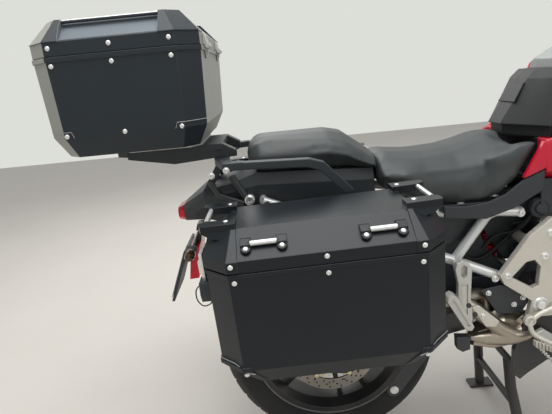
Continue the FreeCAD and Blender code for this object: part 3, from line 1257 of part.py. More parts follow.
# Carrier frames between the subframe and the side cases, with the studs the cases sit on.
carrier_y = v.pannier_in - 10.0 - v.carrier_stud - v.seat_gap - v.carrier_tube
carrier = [tube([(100.0, carrier_y, 704.0), (126.0, carrier_y, 600.0), (90.0, carrier_y, 556.0),
                 (-130.0, carrier_y, 556.0), (-215.0, carrier_y, 600.0), (-215.0, carrier_y, 780.0),
                 (-140.0, carrier_y, 806.0)], v.carrier_tube, 30.0),
           rod((-140.0, carrier_y, 806.0), (100.0, carrier_y, 704.0), v.carrier_tube)]
for x, z in ((100.0, 704.0), (-140.0, 806.0)):
    carrier.append(rod((x, subframe_out(x) + v.seat_gap, z), (x, carrier_y, z), v.carrier_tube))
for x, z in ((100.0, 704.0), (-215.0, 720.0), (-160.0, 571.5), (60.0, 556.0)):
    carrier.append(rod((x, carrier_y, z), (x, v.pannier_in - 10.0 - v.seat_gap, z), 13.0))
feature("pannier_rack", Part.makeCompound(both(joined(carrier))))

# Passenger peg hangers: cast, with an oval hole near the top and a folded peg on a lug.
peg_hangers = Piece("peg_hangers")
hanger_in = v.plate_out + 2.0
hanger_out = hanger_in + 16.0
peg_hangers.pad("Y", hanger_in, hanger_out,
                [(336.0, 622.0), (322.0, 616.0), (318.0, 600.0), (326.0, 560.0), (326.0, 520.0),
                 (318.0, 500.0),
                 (330.0, 486.0), (350.0, 452.0), (360.0, 446.0), (364.0, 456.0), (358.0, 520.0),
                 (360.0, 596.0),
                 (352.0, 616.0)])
peg_hangers.cut("Y", hanger_in + 4.0, hanger_out + 1.0,
                [(332.0, 604.0), (332.0, 582.0), (340.0, 574.0), (348.0, 582.0), (348.0, 604.0),
                 (340.0, 611.0)])
peg_hangers.cut("Y", hanger_in + 8.0, hanger_out + 1.0, [(334.0, 556.0), (334.0, 496.0), (350.0, 470.0),
                                                         (350.0, 556.0)])
peg_hangers.pad("Y", subframe_out(336.0) + v.seat_gap, hanger_in, round_hole(336.0, 600.0, 12.0))
peg_hangers.pad("Y", hanger_out, hanger_out + 14.0, [(326.0, 500.0), (318.0, 512.0), (300.0, 530.0),
                                                     (294.0, 520.0),
                                                     (318.0, 490.0), (332.0, 478.0)])
peg_hangers.pad("Y", hanger_out + 14.0, hanger_out + 44.0,
                [(296.0, 552.0), (284.0, 546.0), (283.0, 534.0), (330.0, 452.0), (344.0, 450.0),
                 (350.0, 460.0),
                 (346.0, 468.0), (306.0, 546.0)])
peg_hangers.cut("Y", hanger_out + 40.0, hanger_out + 45.0,
                [(298.0, 540.0), (290.0, 536.0), (330.0, 464.0), (340.0, 462.0)])
peg_hangers.mirrored()

# Rider pegs: toothed, on a bracket each side, with the brake pedal on the right.
foot_pegs = Piece("foot_pegs")
peg_x = v.pivot_x + 42.0
peg_z = v.pivot_z - 116.0
foot_pegs.pad("Y", v.plate_out + v.seat_gap, v.plate_out + 30.0,
              [(peg_x - 20.0, peg_z - 14.0), (peg_x + 20.0, peg_z - 14.0), (peg_x + 26.0, peg_z + 10.0),
               (peg_x + 10.0, peg_z + 24.0), (peg_x - 26.0, peg_z + 10.0)])
foot_pegs.pad("Y", v.plate_out + 30.0, v.plate_out + 118.0,
              [(peg_x - 24.0, peg_z - 8.0), (peg_x + 24.0, peg_z - 8.0), (peg_x + 24.0, peg_z + 8.0),
               (peg_x - 24.0, peg_z + 8.0)])
foot_pegs.cut("Y", v.plate_out + 44.0, v.plate_out + 112.0,
              [(peg_x - 14.0, peg_z - 9.0), (peg_x + 14.0, peg_z - 9.0), (peg_x + 14.0, peg_z + 9.0),
               (peg_x - 14.0, peg_z + 9.0)])
foot_pegs.cut("Y", v.plate_out + 50.0, v.plate_out + 60.0,
              [(peg_x - 25.0, peg_z + 3.0), (peg_x + 25.0, peg_z + 3.0), (peg_x + 25.0, peg_z + 9.0),
               (peg_x - 25.0, peg_z + 9.0)])
foot_pegs.cut("Y", v.plate_out + 80.0, v.plate_out + 90.0,
              [(peg_x - 25.0, peg_z + 3.0), (peg_x + 25.0, peg_z + 3.0), (peg_x + 25.0, peg_z + 9.0),
               (peg_x - 25.0, peg_z + 9.0)])
foot_pegs.mirrored()
pedal_low = -v.plate_out - 26.0
pedal_high = -v.plate_out - 12.0
foot_pegs.pad("Y", pedal_low, pedal_high,
              [(peg_x - 64.0, peg_z + 46.0), (peg_x - 44.0, peg_z + 56.0), (peg_x + 8.0, peg_z + 18.0),
               (peg_x + 110.0, peg_z + 4.0), (peg_x + 156.0, peg_z + 26.0), (peg_x + 160.0, peg_z + 16.0),
               (peg_x + 112.0, peg_z - 12.0), (peg_x + 4.0, peg_z + 2.0), (peg_x - 58.0, peg_z + 34.0)])
foot_pegs.pad("Y", pedal_low - 34.0, pedal_high, [(peg_x + 140.0, peg_z + 14.0),
                                                  (peg_x + 166.0, peg_z + 28.0),
                                                   (peg_x + 162.0, peg_z + 34.0),
                                                   (peg_x + 136.0, peg_z + 20.0)])

# Shock absorber between swingarm bridge and frame.
shock_low = (452.0, 0.0, 501.3)
shock_high = (plate_end[0] - 5.6, 0.0, plate_end[2] - 24.8)


def between(start, end, share):
    return tuple(first + (last - first) * share for first, last in zip(start, end))


eye_radius = 14.0
shock = [rod((x, -20.0, z), (x, 20.0, z), eye_radius) for x, y, z in (shock_low, shock_high)]
shock.append(rod(shock_low, shock_high, 13.0))
shock.append(rod(between(shock_low, shock_high, 0.16), between(shock_low, shock_high, 0.84), 34.0))
reservoir = rod((505.0, -90.0, 518.0), (597.0, -90.0, 660.0), 20.0)
feature("shock", Part.makeCompound([joined(shock), reservoir]))

# Rear mudguard over the tyre, and brake callipers.
rear_mudguard = Piece("rear_mudguard", 0.0, rear_axle_z)
guard_low = v.rear_radius + 14.0
guard_high = guard_low + 4.0
guard_start = v.guard_from
guard_stop = v.guard_from + v.guard_sweep
rear_mudguard.pad("Y", -v.rear_tyre_half - 4.0, v.rear_tyre_half + 4.0,
                  [around(guard_low, guard_start, guard_low), around(guard_high, guard_start),
                   around(guard_high, guard_stop, -guard_high), around(guard_low, guard_stop)])
rear_mudguard.pad("Y", -v.rear_tyre_half - 41.0, -v.rear_tyre_half + 1.0,
                  [(306.0, 134.0), (300.0, 148.0), (272.0, 120.0), (268.0, 107.5), (292.0, 112.9)])
rear_caliper = Piece("rear_caliper", 0.0, rear_axle_z)
rear_caliper.pad("Y", -v.rear_disc_y - 26.0, -v.rear_disc_y + 20.0,
                 [(-150.0, -20.0), (-92.0, -26.0), (-92.0, 40.0), (-140.0, 46.0)])
rear_caliper.pad("Y", -wheel_room + v.seat_gap, -v.rear_disc_y - 25.0,
                 [(-142.0, -12.0), (-96.0, -22.0), (-44.0, -22.0), (-34.0, 0.0), (-44.0, 18.0),
                  (-96.0, 34.0),
                  (-136.0, 36.0)])
rear_caliper.cut("Y", -v.rear_disc_y - 4.0, -v.rear_disc_y + 4.0,
                 round_hole(0.0, 0.0, v.rear_disc_radius + 3.0))

# Steering: drawn about the front axle with Z along the fork.
def steered(name):
    return Piece(name, v.wheelbase, v.front_radius, -v.rake)


fork_sliders = steered("fork_sliders")
fork_sliders.pad("Z", 10.0, v.fork_split, round_hole(0.0, v.fork_spread, v.fork_inner),
                 round_hole(0.0, -v.fork_spread, v.fork_inner))
fork_sliders.pad("Y", -v.fork_spread - 10.0, v.fork_spread + 10.0,
                 round_hole(0.0, 0.0, v.front_axle_radius))
for side in (-1.0, 1.0):
    low, high = sorted((side * (v.fork_spread - 26.0), side * (v.fork_spread + 26.0)), key=float)
    fork_sliders.pad("Y", low, high, [(-26.0, -28.0), (26.0, -28.0), (30.0, 60.0), (-30.0, 60.0)])
fork_sliders.cut("Y", -v.fork_spread - 40.0, v.fork_spread + 40.0, round_hole(0.0, 0.0, v.axle_bore))

stem_bottom = (v.head_bottom - v.front_radius) / cosine(v.rake)
stem_top = (v.head_top - v.front_radius) / cosine(v.rake)
axis_lift = v.fork_offset * head_slope
fork_tubes = steered("fork_tubes")
fork_tubes.pad("Z", v.fork_split, stem_top + axis_lift + 30.0,
               round_hole(0.0, v.fork_spread, v.fork_outer),
               round_hole(0.0, -v.fork_spread, v.fork_outer))
clamp_side = v.fork_spread + v.fork_outer + 4.0
clamp = [(-v.fork_offset - 34.0, -40.0), (-v.fork_offset + 14.0, -clamp_side),
         (v.fork_outer + 4.0, -clamp_side),
         (v.fork_outer + 4.0, clamp_side), (-v.fork_offset + 14.0, clamp_side),
         (-v.fork_offset - 34.0, 40.0)]
fork_tubes.pad("Z", stem_bottom + axis_lift - 34.0, stem_bottom + axis_lift - 2.0, clamp)
fork_tubes.pad("Z", stem_top + axis_lift + 2.0, stem_top + axis_lift + 26.0, clamp)
fork_tubes.pad("Z", stem_bottom + axis_lift - 20.0, stem_top + axis_lift + 20.0,
               round_hole(-v.fork_offset, 0.0, v.stem_radius))

front_mudguard = steered("front_mudguard")
front_guard = v.front_radius + v.front_guard_room
front_guard_out = front_guard + 4.0
front_guard_stop = v.front_guard_from + v.front_guard_sweep
front_mudguard.pad("Y", -72.0, 72.0,
                   [around(front_guard, v.front_guard_from, front_guard),
                    around(front_guard_out, v.front_guard_from),
                    around(front_guard_out, front_guard_stop, -front_guard_out),
                    around(front_guard, front_guard_stop)])
front_mudguard.pad("Y", 70.0, v.fork_spread - v.fork_inner - 0.4,
                   [(-14.0, 300.0), (14.0, 300.0), (14.0, front_guard + 2.0), (-14.0, front_guard + 2.0)])
front_mudguard.mirrored()
front_calipers = steered("front_calipers")
front_calipers.pad("Y", v.front_disc_y - 16.0, v.front_disc_y + 12.0,
                   [(-150.0, 60.0), (-90.0, 30.0), (-60.0, 130.0), (-100.0, 150.0)])
front_calipers.pad("Y", v.front_disc_y + 8.0, v.front_disc_y + 18.0,
                   [(-104.0, 84.0), (-84.0, 60.0), (-12.5, 72.0), (-12.5, 112.0), (-70.0, 126.0),
                    (-98.0, 124.0)])
front_calipers.cut("Y", v.front_disc_y - 4.0, v.front_disc_y + 4.0,
                   round_hole(0.0, 0.0, v.front_disc_radius + 3.0))
front_calipers.mirrored()

clamp_top = stem_top + axis_lift + 26.0
bar_high = clamp_top + v.bar_rise
riser_x = -v.fork_offset - 4.0
for side in (-1.0, 1.0):
    fork_tubes.pad("Z", clamp_top, bar_high - v.bar_radius - 0.3, round_hole(riser_x, side * 46.0, 15.0))
bar_bend = (riser_x - 20.0, 230.0, bar_high + 92.0)
bar_tip = (riser_x - 112.0, v.bar_end, bar_high + 70.0)
bar_root = (riser_x, 90.0, bar_high)
right_side = [(x, -y, z) for x, y, z in (bar_tip, bar_bend, bar_root)]
bar = tube(right_side + [bar_root, bar_bend, bar_tip], v.bar_radius, 60.0)
feature("handlebar", bar, v.wheelbase, v.front_radius, -v.rake)

# Grips, switch boxes, levers, hand guards and mirrors on each end of the bar.
def beside_bar(share, forward, outward, upward):
    x, y, z = between(bar_bend, bar_tip, share)
    return (x + forward, y + outward, z + upward)


grip = rod(beside_bar(0.36, 0.0, 0.0, 0.0), bar_tip, 17.0)
switches = rod(beside_bar(0.2, 0.0, 0.0, 0.0), beside_bar(0.36, 0.0, 0.0, 0.0), 22.0)
lever = tube([beside_bar(0.27, 10.0, 0.0, 0.0), beside_bar(0.33, 50.0, 4.0, -6.0),
              beside_bar(0.98, 56.0, 0.0, -12.0)],
             6.0, 20.0)
guard_line = [beside_bar(0.26, 12.0, 0.0, 0.0), beside_bar(0.22, 78.0, 0.0, 0.0),
              beside_bar(0.7, 96.0, 10.0, 0.0),
              beside_bar(1.06, 66.0, 12.0, 0.0), beside_bar(1.04, 0.0, 2.0, 0.0)]
guard_bar = tube(guard_line, 7.0, 30.0)
end_cap = rod(between(bar_bend, bar_tip, 1.0), between(bar_bend, bar_tip, 1.06), 15.0)
mirror_stem = tube([beside_bar(0.27, 8.0, 0.0, 10.0), beside_bar(0.3, 30.0, 0.0, 120.0),
                    beside_bar(0.62, 20.0, 0.0, 176.0)], 6.0, 40.0)
mirror_head = Part.makeBox(16.0, 130.0, 78.0, vector(-8.0, -65.0, -39.0))
mirror_head = mirror_head.makeFillet(7.0, mirror_head.Edges)
mirror_head.rotate(vector(0.0, 0.0, 0.0), vector(0.0, 1.0, 0.0), float(v.rake))
mirror_head.translate(vector(*beside_bar(0.66, 24.0, 0.0, 190.0)))
controls = joined([grip, switches, lever, guard_bar, end_cap, mirror_stem, mirror_head])
bar_room = tube([bar_root, bar_bend, bar_tip], v.bar_radius + v.seat_gap, 60.0)
controls = controls.cut(bar_room)
feature("bar_controls", Part.makeCompound(both(controls)), v.wheelbase, v.front_radius, -v.rake)

# Stands.
foot_y = 150.0
stand_legs = both(tube([(v.stand_pivot_x, 104.0, v.stand_pivot_z),
                        (v.stand_pivot_x + 6.0, 112.0, v.stand_pivot_z - 88.0),
                        (v.stand_foot_x, foot_y, 8.0)], v.stand_tube, 40.0))
for side in (-1.0, 1.0):
    stand_legs.append(Part.makeBox(80.0, 44.0, 8.0, vector(v.stand_foot_x - 40.0, side * foot_y - 22.0,
                                                           0.0)))
stand_legs.append(rod((v.stand_pivot_x, -v.plate_out, v.stand_pivot_z),
                      (v.stand_pivot_x, v.plate_out, v.stand_pivot_z),
                      v.stand_pin))
stand_legs.append(rod((v.stand_pivot_x + 13.0, -122.0, 126.0), (v.stand_pivot_x + 13.0, 122.0, 126.0),
                      10.0))
below = Part.makeBox(400.0, 400.0, 60.0, vector(v.stand_pivot_x - 200.0, -200.0, -60.0))
feature("centre_stand", joined(stand_legs).cut(below))

side_y = v.plate_out + 14.0
side_leg = tube([(v.side_stand_x, side_y, v.side_stand_z),
                 (v.side_stand_x - v.side_stand_length * 0.4, side_y + 6.0, v.side_stand_z - 10.0),
                 (v.side_stand_x - v.side_stand_length, side_y + 30.0, v.side_stand_z - 26.0)], 10.0,
                 60.0)
side_pin = rod((v.side_stand_x, v.plate_out - v.plate_thickness, v.side_stand_z),
               (v.side_stand_x, side_y, v.side_stand_z),
               v.side_stand_pin)
side_eye = rod((v.side_stand_x, v.plate_out + 1.0, v.side_stand_z),
               (v.side_stand_x, side_y + 10.0, v.side_stand_z), 15.0)
feature("side_stand", joined([side_eye, side_leg, side_pin]))

doc.recompute()

# Every piece is checked before any file is written.
pieces = [item for item in doc.Objects
          if item.TypeId == "PartDesign::Body" or item.TypeId == "Part::Feature"]
for item in doc.Objects:
    if "Invalid" in item.State or "Error" in item.State:
        raise RuntimeError(f"{item.Name} did not compute: {item.State}")
for item in pieces:
    if item.Shape.isNull() or not item.Shape.isValid():
        raise RuntimeError(f"{item.Label} has no valid shape")
    if not item.Shape.Solids:
        raise RuntimeError(f"{item.Label} has no solid")
for item in pieces:
    item.Shape.exportStep(f"parts/{item.Label}.step")
print(f"{len(pieces)} pieces written")
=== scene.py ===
import json
import math

import bpy
import numpy as np
from mathutils import Matrix, Vector

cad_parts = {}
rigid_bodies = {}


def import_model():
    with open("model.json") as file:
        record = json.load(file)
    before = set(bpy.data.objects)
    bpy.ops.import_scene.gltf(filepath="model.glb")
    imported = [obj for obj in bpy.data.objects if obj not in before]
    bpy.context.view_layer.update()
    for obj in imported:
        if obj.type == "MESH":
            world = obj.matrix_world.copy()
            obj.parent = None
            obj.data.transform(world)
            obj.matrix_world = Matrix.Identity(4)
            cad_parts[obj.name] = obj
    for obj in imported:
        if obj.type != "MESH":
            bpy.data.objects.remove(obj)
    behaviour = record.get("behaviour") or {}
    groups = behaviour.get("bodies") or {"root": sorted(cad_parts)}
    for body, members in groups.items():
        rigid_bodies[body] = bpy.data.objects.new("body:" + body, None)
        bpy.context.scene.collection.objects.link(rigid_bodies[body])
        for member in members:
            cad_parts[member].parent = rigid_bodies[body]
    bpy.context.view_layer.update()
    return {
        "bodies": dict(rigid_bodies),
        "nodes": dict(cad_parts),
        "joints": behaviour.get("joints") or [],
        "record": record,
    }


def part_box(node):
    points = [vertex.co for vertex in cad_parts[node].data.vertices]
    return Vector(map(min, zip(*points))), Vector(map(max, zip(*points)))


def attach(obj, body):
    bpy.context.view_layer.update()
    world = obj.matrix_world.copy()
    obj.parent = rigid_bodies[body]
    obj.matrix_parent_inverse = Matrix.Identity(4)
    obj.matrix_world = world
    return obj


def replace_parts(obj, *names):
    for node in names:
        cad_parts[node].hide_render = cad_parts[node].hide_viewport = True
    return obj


bl_info = {
    "name": "Adventure Motorcycle Finish",
    "version": (1, 0, 0),
    "blender": (4, 2, 0),
    "location": "3D View > Sidebar > Motorcycle",
    "description": "Dresses the adventure motorcycle's construction model and sets up its studio",
    "category": "Object",
}

# The construction model is in metres, with its origin below the middle of the motorcycle.
# Places and sizes of the pieces are given in millimetres, from the ground below the rear axle.
# Masks in the materials, lights and the camera are in the model's own metres.
MIDDLE = 629.5
CASE_MIDDLE = -29.0
CASE_SEAM = 764.0
CASE_LEAN = math.radians(1.4)
TOP_MIDDLE = -432.0
FORK_RAKE = math.radians(24.5)
FRONT_AXLE = (1562.0, 0.0, 325.0)
REAR_AXLE = (0.0, 0.0, 338.0)
RIGHT = (0, -1, 0)
LEFT = (0, 1, 0)
UP = (0, 0, 1)
SIDES = (("right", -1, RIGHT), ("left", 1, LEFT))
ROD = 5.2
EDGE = 0.9
model = {}


def along(x):
    return (x - MIDDLE) / 1000


def place(x, y, z):
    return Vector((along(x), y / 1000, z / 1000))


def tipped(origin, angle, x, y, z):
    """A place given from an origin, with the x and z axes tipped back by the angle."""
    return place(origin[0] + x * math.cos(angle) - z * math.sin(angle), y,
                 origin[1] + x * math.sin(angle) + z * math.cos(angle))


def on_case(x, y, z):
    """A place on a side case, given from the middle of its seam."""
    return tipped((CASE_MIDDLE, CASE_SEAM), CASE_LEAN, x, y, z)


def on_fork(x, y, z):
    """A place on the steering, given from the front axle with z along the fork."""
    return tipped(FRONT_AXLE[::2], FORK_RAKE, x, y, z)


def on_top(x, y, z):
    """A place on the top case, given from its middle and the ground."""
    return place(TOP_MIDDLE + x, y, z)


def spots(points, side=1, where=place):
    """The points as places, on the machine's other side when side is -1."""
    return [where(x, side * y, z) for x, y, z in points]


def upright(y, pairs):
    """Places in one plane along the machine, from (x, z) pairs."""
    return [place(x, y, z) for x, z in pairs]


def around(count, start=0.0):
    """Evenly spaced turns of a circle, in radians."""
    return [2 * math.pi * (step + start) / count for step in range(count)]


def on_circle(middle, radius, turn):
    """The place at this turn of a circle that stands like a wheel."""
    return middle + Vector((math.cos(turn), 0, math.sin(turn))) * (radius / 1000)


def circle(middle, radius, count):
    return [on_circle(middle, radius, turn) for turn in around(count)]


# Shaders.

BLACK = (0.0, 0.0, 0.0, 1.0)
DUST = (0.33, 0.29, 0.24, 1.0)


def arithmetic(operation, swapped=False):
    """A method that joins a value to another, which comes first if they are swapped."""
    def joined(self, other):
        first, second = (other, self) if swapped else (self, other)
        return self.paint.node("ShaderNodeMath", {"operation": operation}, {0: first, 1: second})
    return joined


class Value:
    """A number, colour or direction in a material, joined to others by plain arithmetic."""

    def __init__(self, paint, socket):
        self.paint = paint
        self.socket = socket

    __add__ = arithmetic("ADD")
    __radd__ = arithmetic("ADD", True)
    __sub__ = arithmetic("SUBTRACT")
    __rsub__ = arithmetic("SUBTRACT", True)
    __mul__ = arithmetic("MULTIPLY")
    __gt__ = arithmetic("GREATER_THAN")
    __lt__ = arithmetic("LESS_THAN")

    def within(self, low, high):
        """Rises from 0 at low to 1 at high."""
        return self.paint.node("ShaderNodeMapRange", {"clamp": True},
                               {"Value": self, "From Min": low, "From Max": high})


class Paint:
    """A material or a world being built, with one method that adds any node to it."""

    def __init__(self, name, kind="materials"):
        self.owner = getattr(bpy.data, kind).new(name)
        self.owner.use_nodes = True
        self.tree = self.owner.node_tree
        self.tree.nodes.clear()
        self.place = self.node("ShaderNodeTexCoord", output="Object")

    def node(self, kind, settings=None, values=None, output=0):
        made = self.tree.nodes.new(kind)
        for name, value in (settings or {}).items():
            setattr(made, name, value)
        for name, value in (values or {}).items():
            socket = made.inputs[name]
            if isinstance(value, Value):
                self.tree.links.new(value.socket, socket)
            else:
                socket.default_value = value
        if not made.outputs:
            return made
        return Value(self, made.outputs[output])

    def noise(self, scale, detail=3.0):
        return self.node("ShaderNodeTexNoise", None,
                         {"Vector": self.place, "Scale": scale, "Detail": detail, "Roughness": 0.55})

    def axis(self, letter):
        return self.node("ShaderNodeSeparateXYZ", None, {0: self.place}, "XYZ".index(letter))

    def sideways(self):
        """The distance from the machine's middle plane."""
        return self.node("ShaderNodeMath", {"operation": "ABSOLUTE"}, {0: self.axis("Y")})

    def mixed(self, share, first, second):
        return self.node("ShaderNodeMix", {"data_type": "RGBA"}, {0: share, 6: first, 7: second}, 2)

    def edges(self, radius):
        """A soft normal over the edges, and a mask that is 1 on them."""
        soft = self.node("ShaderNodeBevel", {"samples": 6}, {"Radius": radius / 1000})
        plain = self.node("ShaderNodeNewGeometry", output="Normal")
        alike = self.node("ShaderNodeVectorMath", {"operation": "DOT_PRODUCT"}, {0: soft, 1: plain}, "Value")
        return soft, (1.0 - alike).within(0.02, 0.3)

    def relief(self, strength, depth, height, normal):
        return self.node("ShaderNodeBump", None, {"Strength": strength, "Distance": depth / 1000,
                                                  "Height": height, "Normal": normal})

    def surface(self, values):
        shader = self.node("ShaderNodeBsdfPrincipled", None, values)
        self.node("ShaderNodeOutputMaterial", None, {"Surface": shader})
        return self.owner


def rgb(color):
    return (*color, 1.0)


def finish(name, color, rough, metal=0.0, coat=0.0, grain=900.0, bump=0.15, vary=0.12, wear=0.3,
           wear_color=(0.35, 0.35, 0.34), soft=1.5, patches=6.0, dust=0.1, zones=(),
           transmission=0.0, shine=0.5):
    """A coloured surface with grain, patches, worn edges and a little dust low down.

    Each zone is a mask over the place and the colour that it takes there."""
    paint = Paint(name)
    normal, edge = paint.edges(soft)
    fine = paint.noise(grain, 4.0)
    cloudy = paint.noise(patches)
    shaded = rgb(color)
    for mask, zone_color in zones:
        shaded = paint.mixed(mask(paint), shaded, rgb(zone_color))
    shaded = paint.mixed((1.0 - cloudy).within(0.2, 0.9) * vary, shaded, BLACK)
    rubbed = edge * (fine.within(0.42, 0.62) * wear)
    shaded = paint.mixed(rubbed, shaded, rgb(wear_color))
    low = (0.62 - paint.axis("Z")).within(0.0, 0.6)
    dusty = low * (cloudy.within(0.35, 0.75) * dust)
    return paint.surface({
        "Base Color": paint.mixed(dusty, shaded, DUST), "Metallic": metal, "Coat Weight": coat,
        "Roughness": rough + (fine - 0.5) * 0.12 + dusty * 0.3, "Transmission Weight": transmission,
        "Specular IOR Level": shine, "Normal": paint.relief(bump, 0.6, fine, normal)})


def leather(name, color):
    """Seat cover: a fine pebbled grain, duller where it is sat on."""
    paint = Paint(name)
    normal, edge = paint.edges(2.0)
    pebbles = paint.node("ShaderNodeTexVoronoi", None, {"Vector": paint.place, "Scale": 420.0})
    cloudy = paint.noise(5.0)
    shaded = paint.mixed(cloudy.within(0.3, 0.75), rgb(color), rgb([part * 1.25 for part in color]))
    return paint.surface({
        "Base Color": paint.mixed(edge * 0.25, shaded, (0.16, 0.16, 0.16, 1.0)),
        "Roughness": 0.52 + (cloudy - 0.5) * 0.16, "Normal": paint.relief(0.35, 0.5, pebbles, normal)})


def lower_than(height):
    return lambda paint: paint.axis("Z") < height / 1000


def case_metal_and_sheen(paint):
    """The top case's faces that point forward and back, painted lighter grey by the way they face: a painted
    sheen on the front face, and the corner strips behind, which are bare metal.
    """
    facing = paint.node("ShaderNodeSeparateXYZ", None,
                        {0: paint.node("ShaderNodeTexCoord", output="Normal")}, 0)
    return (facing > 0.8) + (facing < -0.4)


def hinges_in_front(paint):
    """The hinges on the top case's front face, which are bare metal."""
    y = paint.sideways()
    return (paint.axis("X") > along(-247.4)) * (y > 0.108) * (y < 0.152)


def beside_spring(paint):
    """The damper's reservoir and both eyes, which are black."""
    z = paint.axis("Z")
    return (paint.axis("Y") < -0.05) + (z < 0.525) + (z > 0.672)


def top_recess(paint):
    """The long recess in each side of the top case's lid."""
    x, y, z = paint.axis("X"), paint.sideways(), paint.axis("Z")
    inside = (x > along(TOP_MIDDLE - 106)) * (x < along(TOP_MIDDLE + 106))
    return inside * (z > 1.227) * (y > 0.195) * (y < 0.2465) * (z < 1.262)


def tank_centre(paint):
    """The grey middle of the tank between its red edges."""
    edge = 0.118 - (paint.axis("Z") - 1.07) * 0.35
    return (paint.sideways() < edge) * (paint.axis("X") > along(640.5))


def under_cover(paint):
    """The black saddle of the tank between its cover and the seat."""
    return (paint.sideways() < 0.128) * (paint.axis("X") < along(602))


# What several of the surfaces have in common.

CASE = dict(rough=0.4, grain=1400, bump=0.1, soft=2.5, wear=0.35, shine=0.3)
TOP_CASE = dict(CASE, color=(0.02, 0.027, 0.034))
# Bare metal hinges and corner strips, and a painted sheen on the top case's front face.
TOP_METAL_AND_SHEEN = [(case_metal_and_sheen, (0.3, 0.3, 0.28)), (hinges_in_front, (0.55, 0.55, 0.53))]
RED = dict(color=(0.58, 0.003, 0.03), rough=0.26, coat=0.25, grain=500, bump=0.03, wear=0.05,
           wear_color=(0.5, 0.05, 0.06), vary=0.08)
SPRING = dict(color=(0.4, 0.006, 0.02), rough=0.3, coat=0.4, grain=600, bump=0.05, soft=3)
CHAMPAGNE = dict(color=(0.66, 0.63, 0.56), rough=0.4, metal=0.35, grain=1500, bump=0.22, soft=4, wear=0.35,
                 wear_color=(0.85, 0.84, 0.8), vary=0.15)
PLASTIC = dict(rough=0.5, grain=2400, bump=0.35)
COLOURS = {
    "case_black": dict(CASE, color=(0.008, 0.0115, 0.015), rough=0.34, dust=0.04),
    "top_case_black": dict(TOP_CASE, zones=TOP_METAL_AND_SHEEN),
    "top_lid_black": dict(TOP_CASE, zones=TOP_METAL_AND_SHEEN + [(top_recess, (0.15, 0.175, 0.2))]),
    "red_paint": dict(RED, soft=6),
    "tank_paint": dict(RED, soft=8, zones=[(tank_centre, (0.3, 0.31, 0.31)),
                                           (under_cover, (0.012, 0.014, 0.016))]),
    "frame_plate": dict(CHAMPAGNE, zones=[(lower_than(436), (0.035, 0.035, 0.037))]),
    "champagne_casting": CHAMPAGNE,
    "shock_paint": dict(SPRING, zones=[(beside_spring, (0.04, 0.043, 0.045))]),
    "red_spring": SPRING,
    "cover_grey": dict(PLASTIC, color=(0.013, 0.014, 0.015), soft=5, wear=0.1, shine=0.35,
                       wear_color=(0.15, 0.15, 0.15)),
    "black_plastic": dict(PLASTIC, color=(0.022, 0.027, 0.032), soft=4, wear=0.12,
                          wear_color=(0.14, 0.14, 0.14)),
    "silver_tube": dict(color=(0.7, 0.71, 0.71), rough=0.3, metal=0.5, grain=700, bump=0.08, soft=2,
                        wear_color=(0.25, 0.25, 0.25), vary=0.18),
    "silver_casting": dict(color=(0.6, 0.6, 0.57), rough=0.42, metal=0.55, grain=1500, bump=0.25, soft=3,
                           wear=0.4, wear_color=(0.8, 0.8, 0.78), vary=0.2),
    "frame_paint": dict(color=(0.024, 0.028, 0.033), rough=0.4, soft=3),
    "exhaust_steel": dict(color=(0.43, 0.38, 0.32), rough=0.3, metal=0.9, grain=260, bump=0.06, soft=5,
                          wear=0.2, wear_color=(0.5, 0.38, 0.26), vary=0.35, patches=14),
    "engine_casting": dict(color=(0.05, 0.05, 0.053), rough=0.5, metal=0.4, grain=1100, bump=0.4, soft=5),
    "wheel_black": dict(color=(0.016, 0.016, 0.018), rough=0.33, grain=1200, bump=0.06, soft=3, dust=0.12),
    "disc_steel": dict(color=(0.4, 0.375, 0.34), rough=0.3, metal=1, bump=0.05, soft=0.6, vary=0.35,
                       dust=0.15),
    "chain_steel": dict(color=(0.22, 0.2, 0.17), rough=0.42, metal=0.9, grain=500, bump=0.2, dust=0.12),
    "fork_chrome": dict(color=(0.68, 0.68, 0.68), rough=0.12, metal=1, grain=300, bump=0.02, wear=0.1),
    "fork_black": dict(color=(0.025, 0.025, 0.027), rough=0.34, metal=0.3, grain=1000, bump=0.08, soft=3),
    "stand_black": dict(color=(0.02, 0.02, 0.021), rough=0.42, grain=800, bump=0.12, soft=2, wear=0.5,
                        dust=0.12),
    "rack_black": dict(color=(0.017, 0.021, 0.025), rough=0.5, grain=1900, bump=0.3, soft=3),
    "plate_aluminium": dict(color=(0.5, 0.5, 0.5), rough=0.4, metal=0.8, grain=600, bump=0.12, soft=2),
    "red_lens": dict(color=(0.75, 0.005, 0.03), rough=0.22, coat=0.2, grain=300, bump=0.03, soft=3,
                     wear=0, shine=0.3),
    "smoked_lens": dict(color=(0.05, 0.02, 0.008), rough=0.2, coat=0.2, grain=300, bump=0.03, wear=0),
    "lamp_glass": dict(color=(0.75, 0.78, 0.8), rough=0.06, grain=220, bump=0.04, transmission=0.75),
    "screen": dict(color=(0.5, 0.54, 0.56), rough=0.08, grain=200, bump=0.02, transmission=0.9, wear=0.1),
    "display_glass": dict(color=(0.008, 0.009, 0.011), rough=0.08, coat=0.8, grain=200, bump=0.02, wear=0),
    "tyre": dict(color=(0.015, 0.016, 0.017), rough=0.72, grain=1500, bump=0.4, soft=2, vary=0.3,
                 dust=0.08, shine=0.35, wear_color=(0.07, 0.065, 0.06)),
    "bright_steel": dict(color=(0.82, 0.82, 0.81), rough=0.3, metal=0.6, grain=500, bump=0.04, soft=0.8,
                         wear=0.1),
    "bare_metal": dict(color=(0.42, 0.43, 0.43), rough=0.42, metal=0.3, grain=1100, bump=0.1, soft=3),
    "rubber_hose": dict(color=(0.016, 0.016, 0.017), rough=0.6, bump=0.2),
    "plate_white": dict(color=(0.7, 0.7, 0.68), rough=0.4, grain=700, bump=0.05, vary=0.06),
    "spring_gold": dict(color=(0.72, 0.64, 0.42), rough=0.3, metal=0.9, grain=700, bump=0.05),
}
SEAT_COLOUR = (0.03, 0.0345, 0.036)
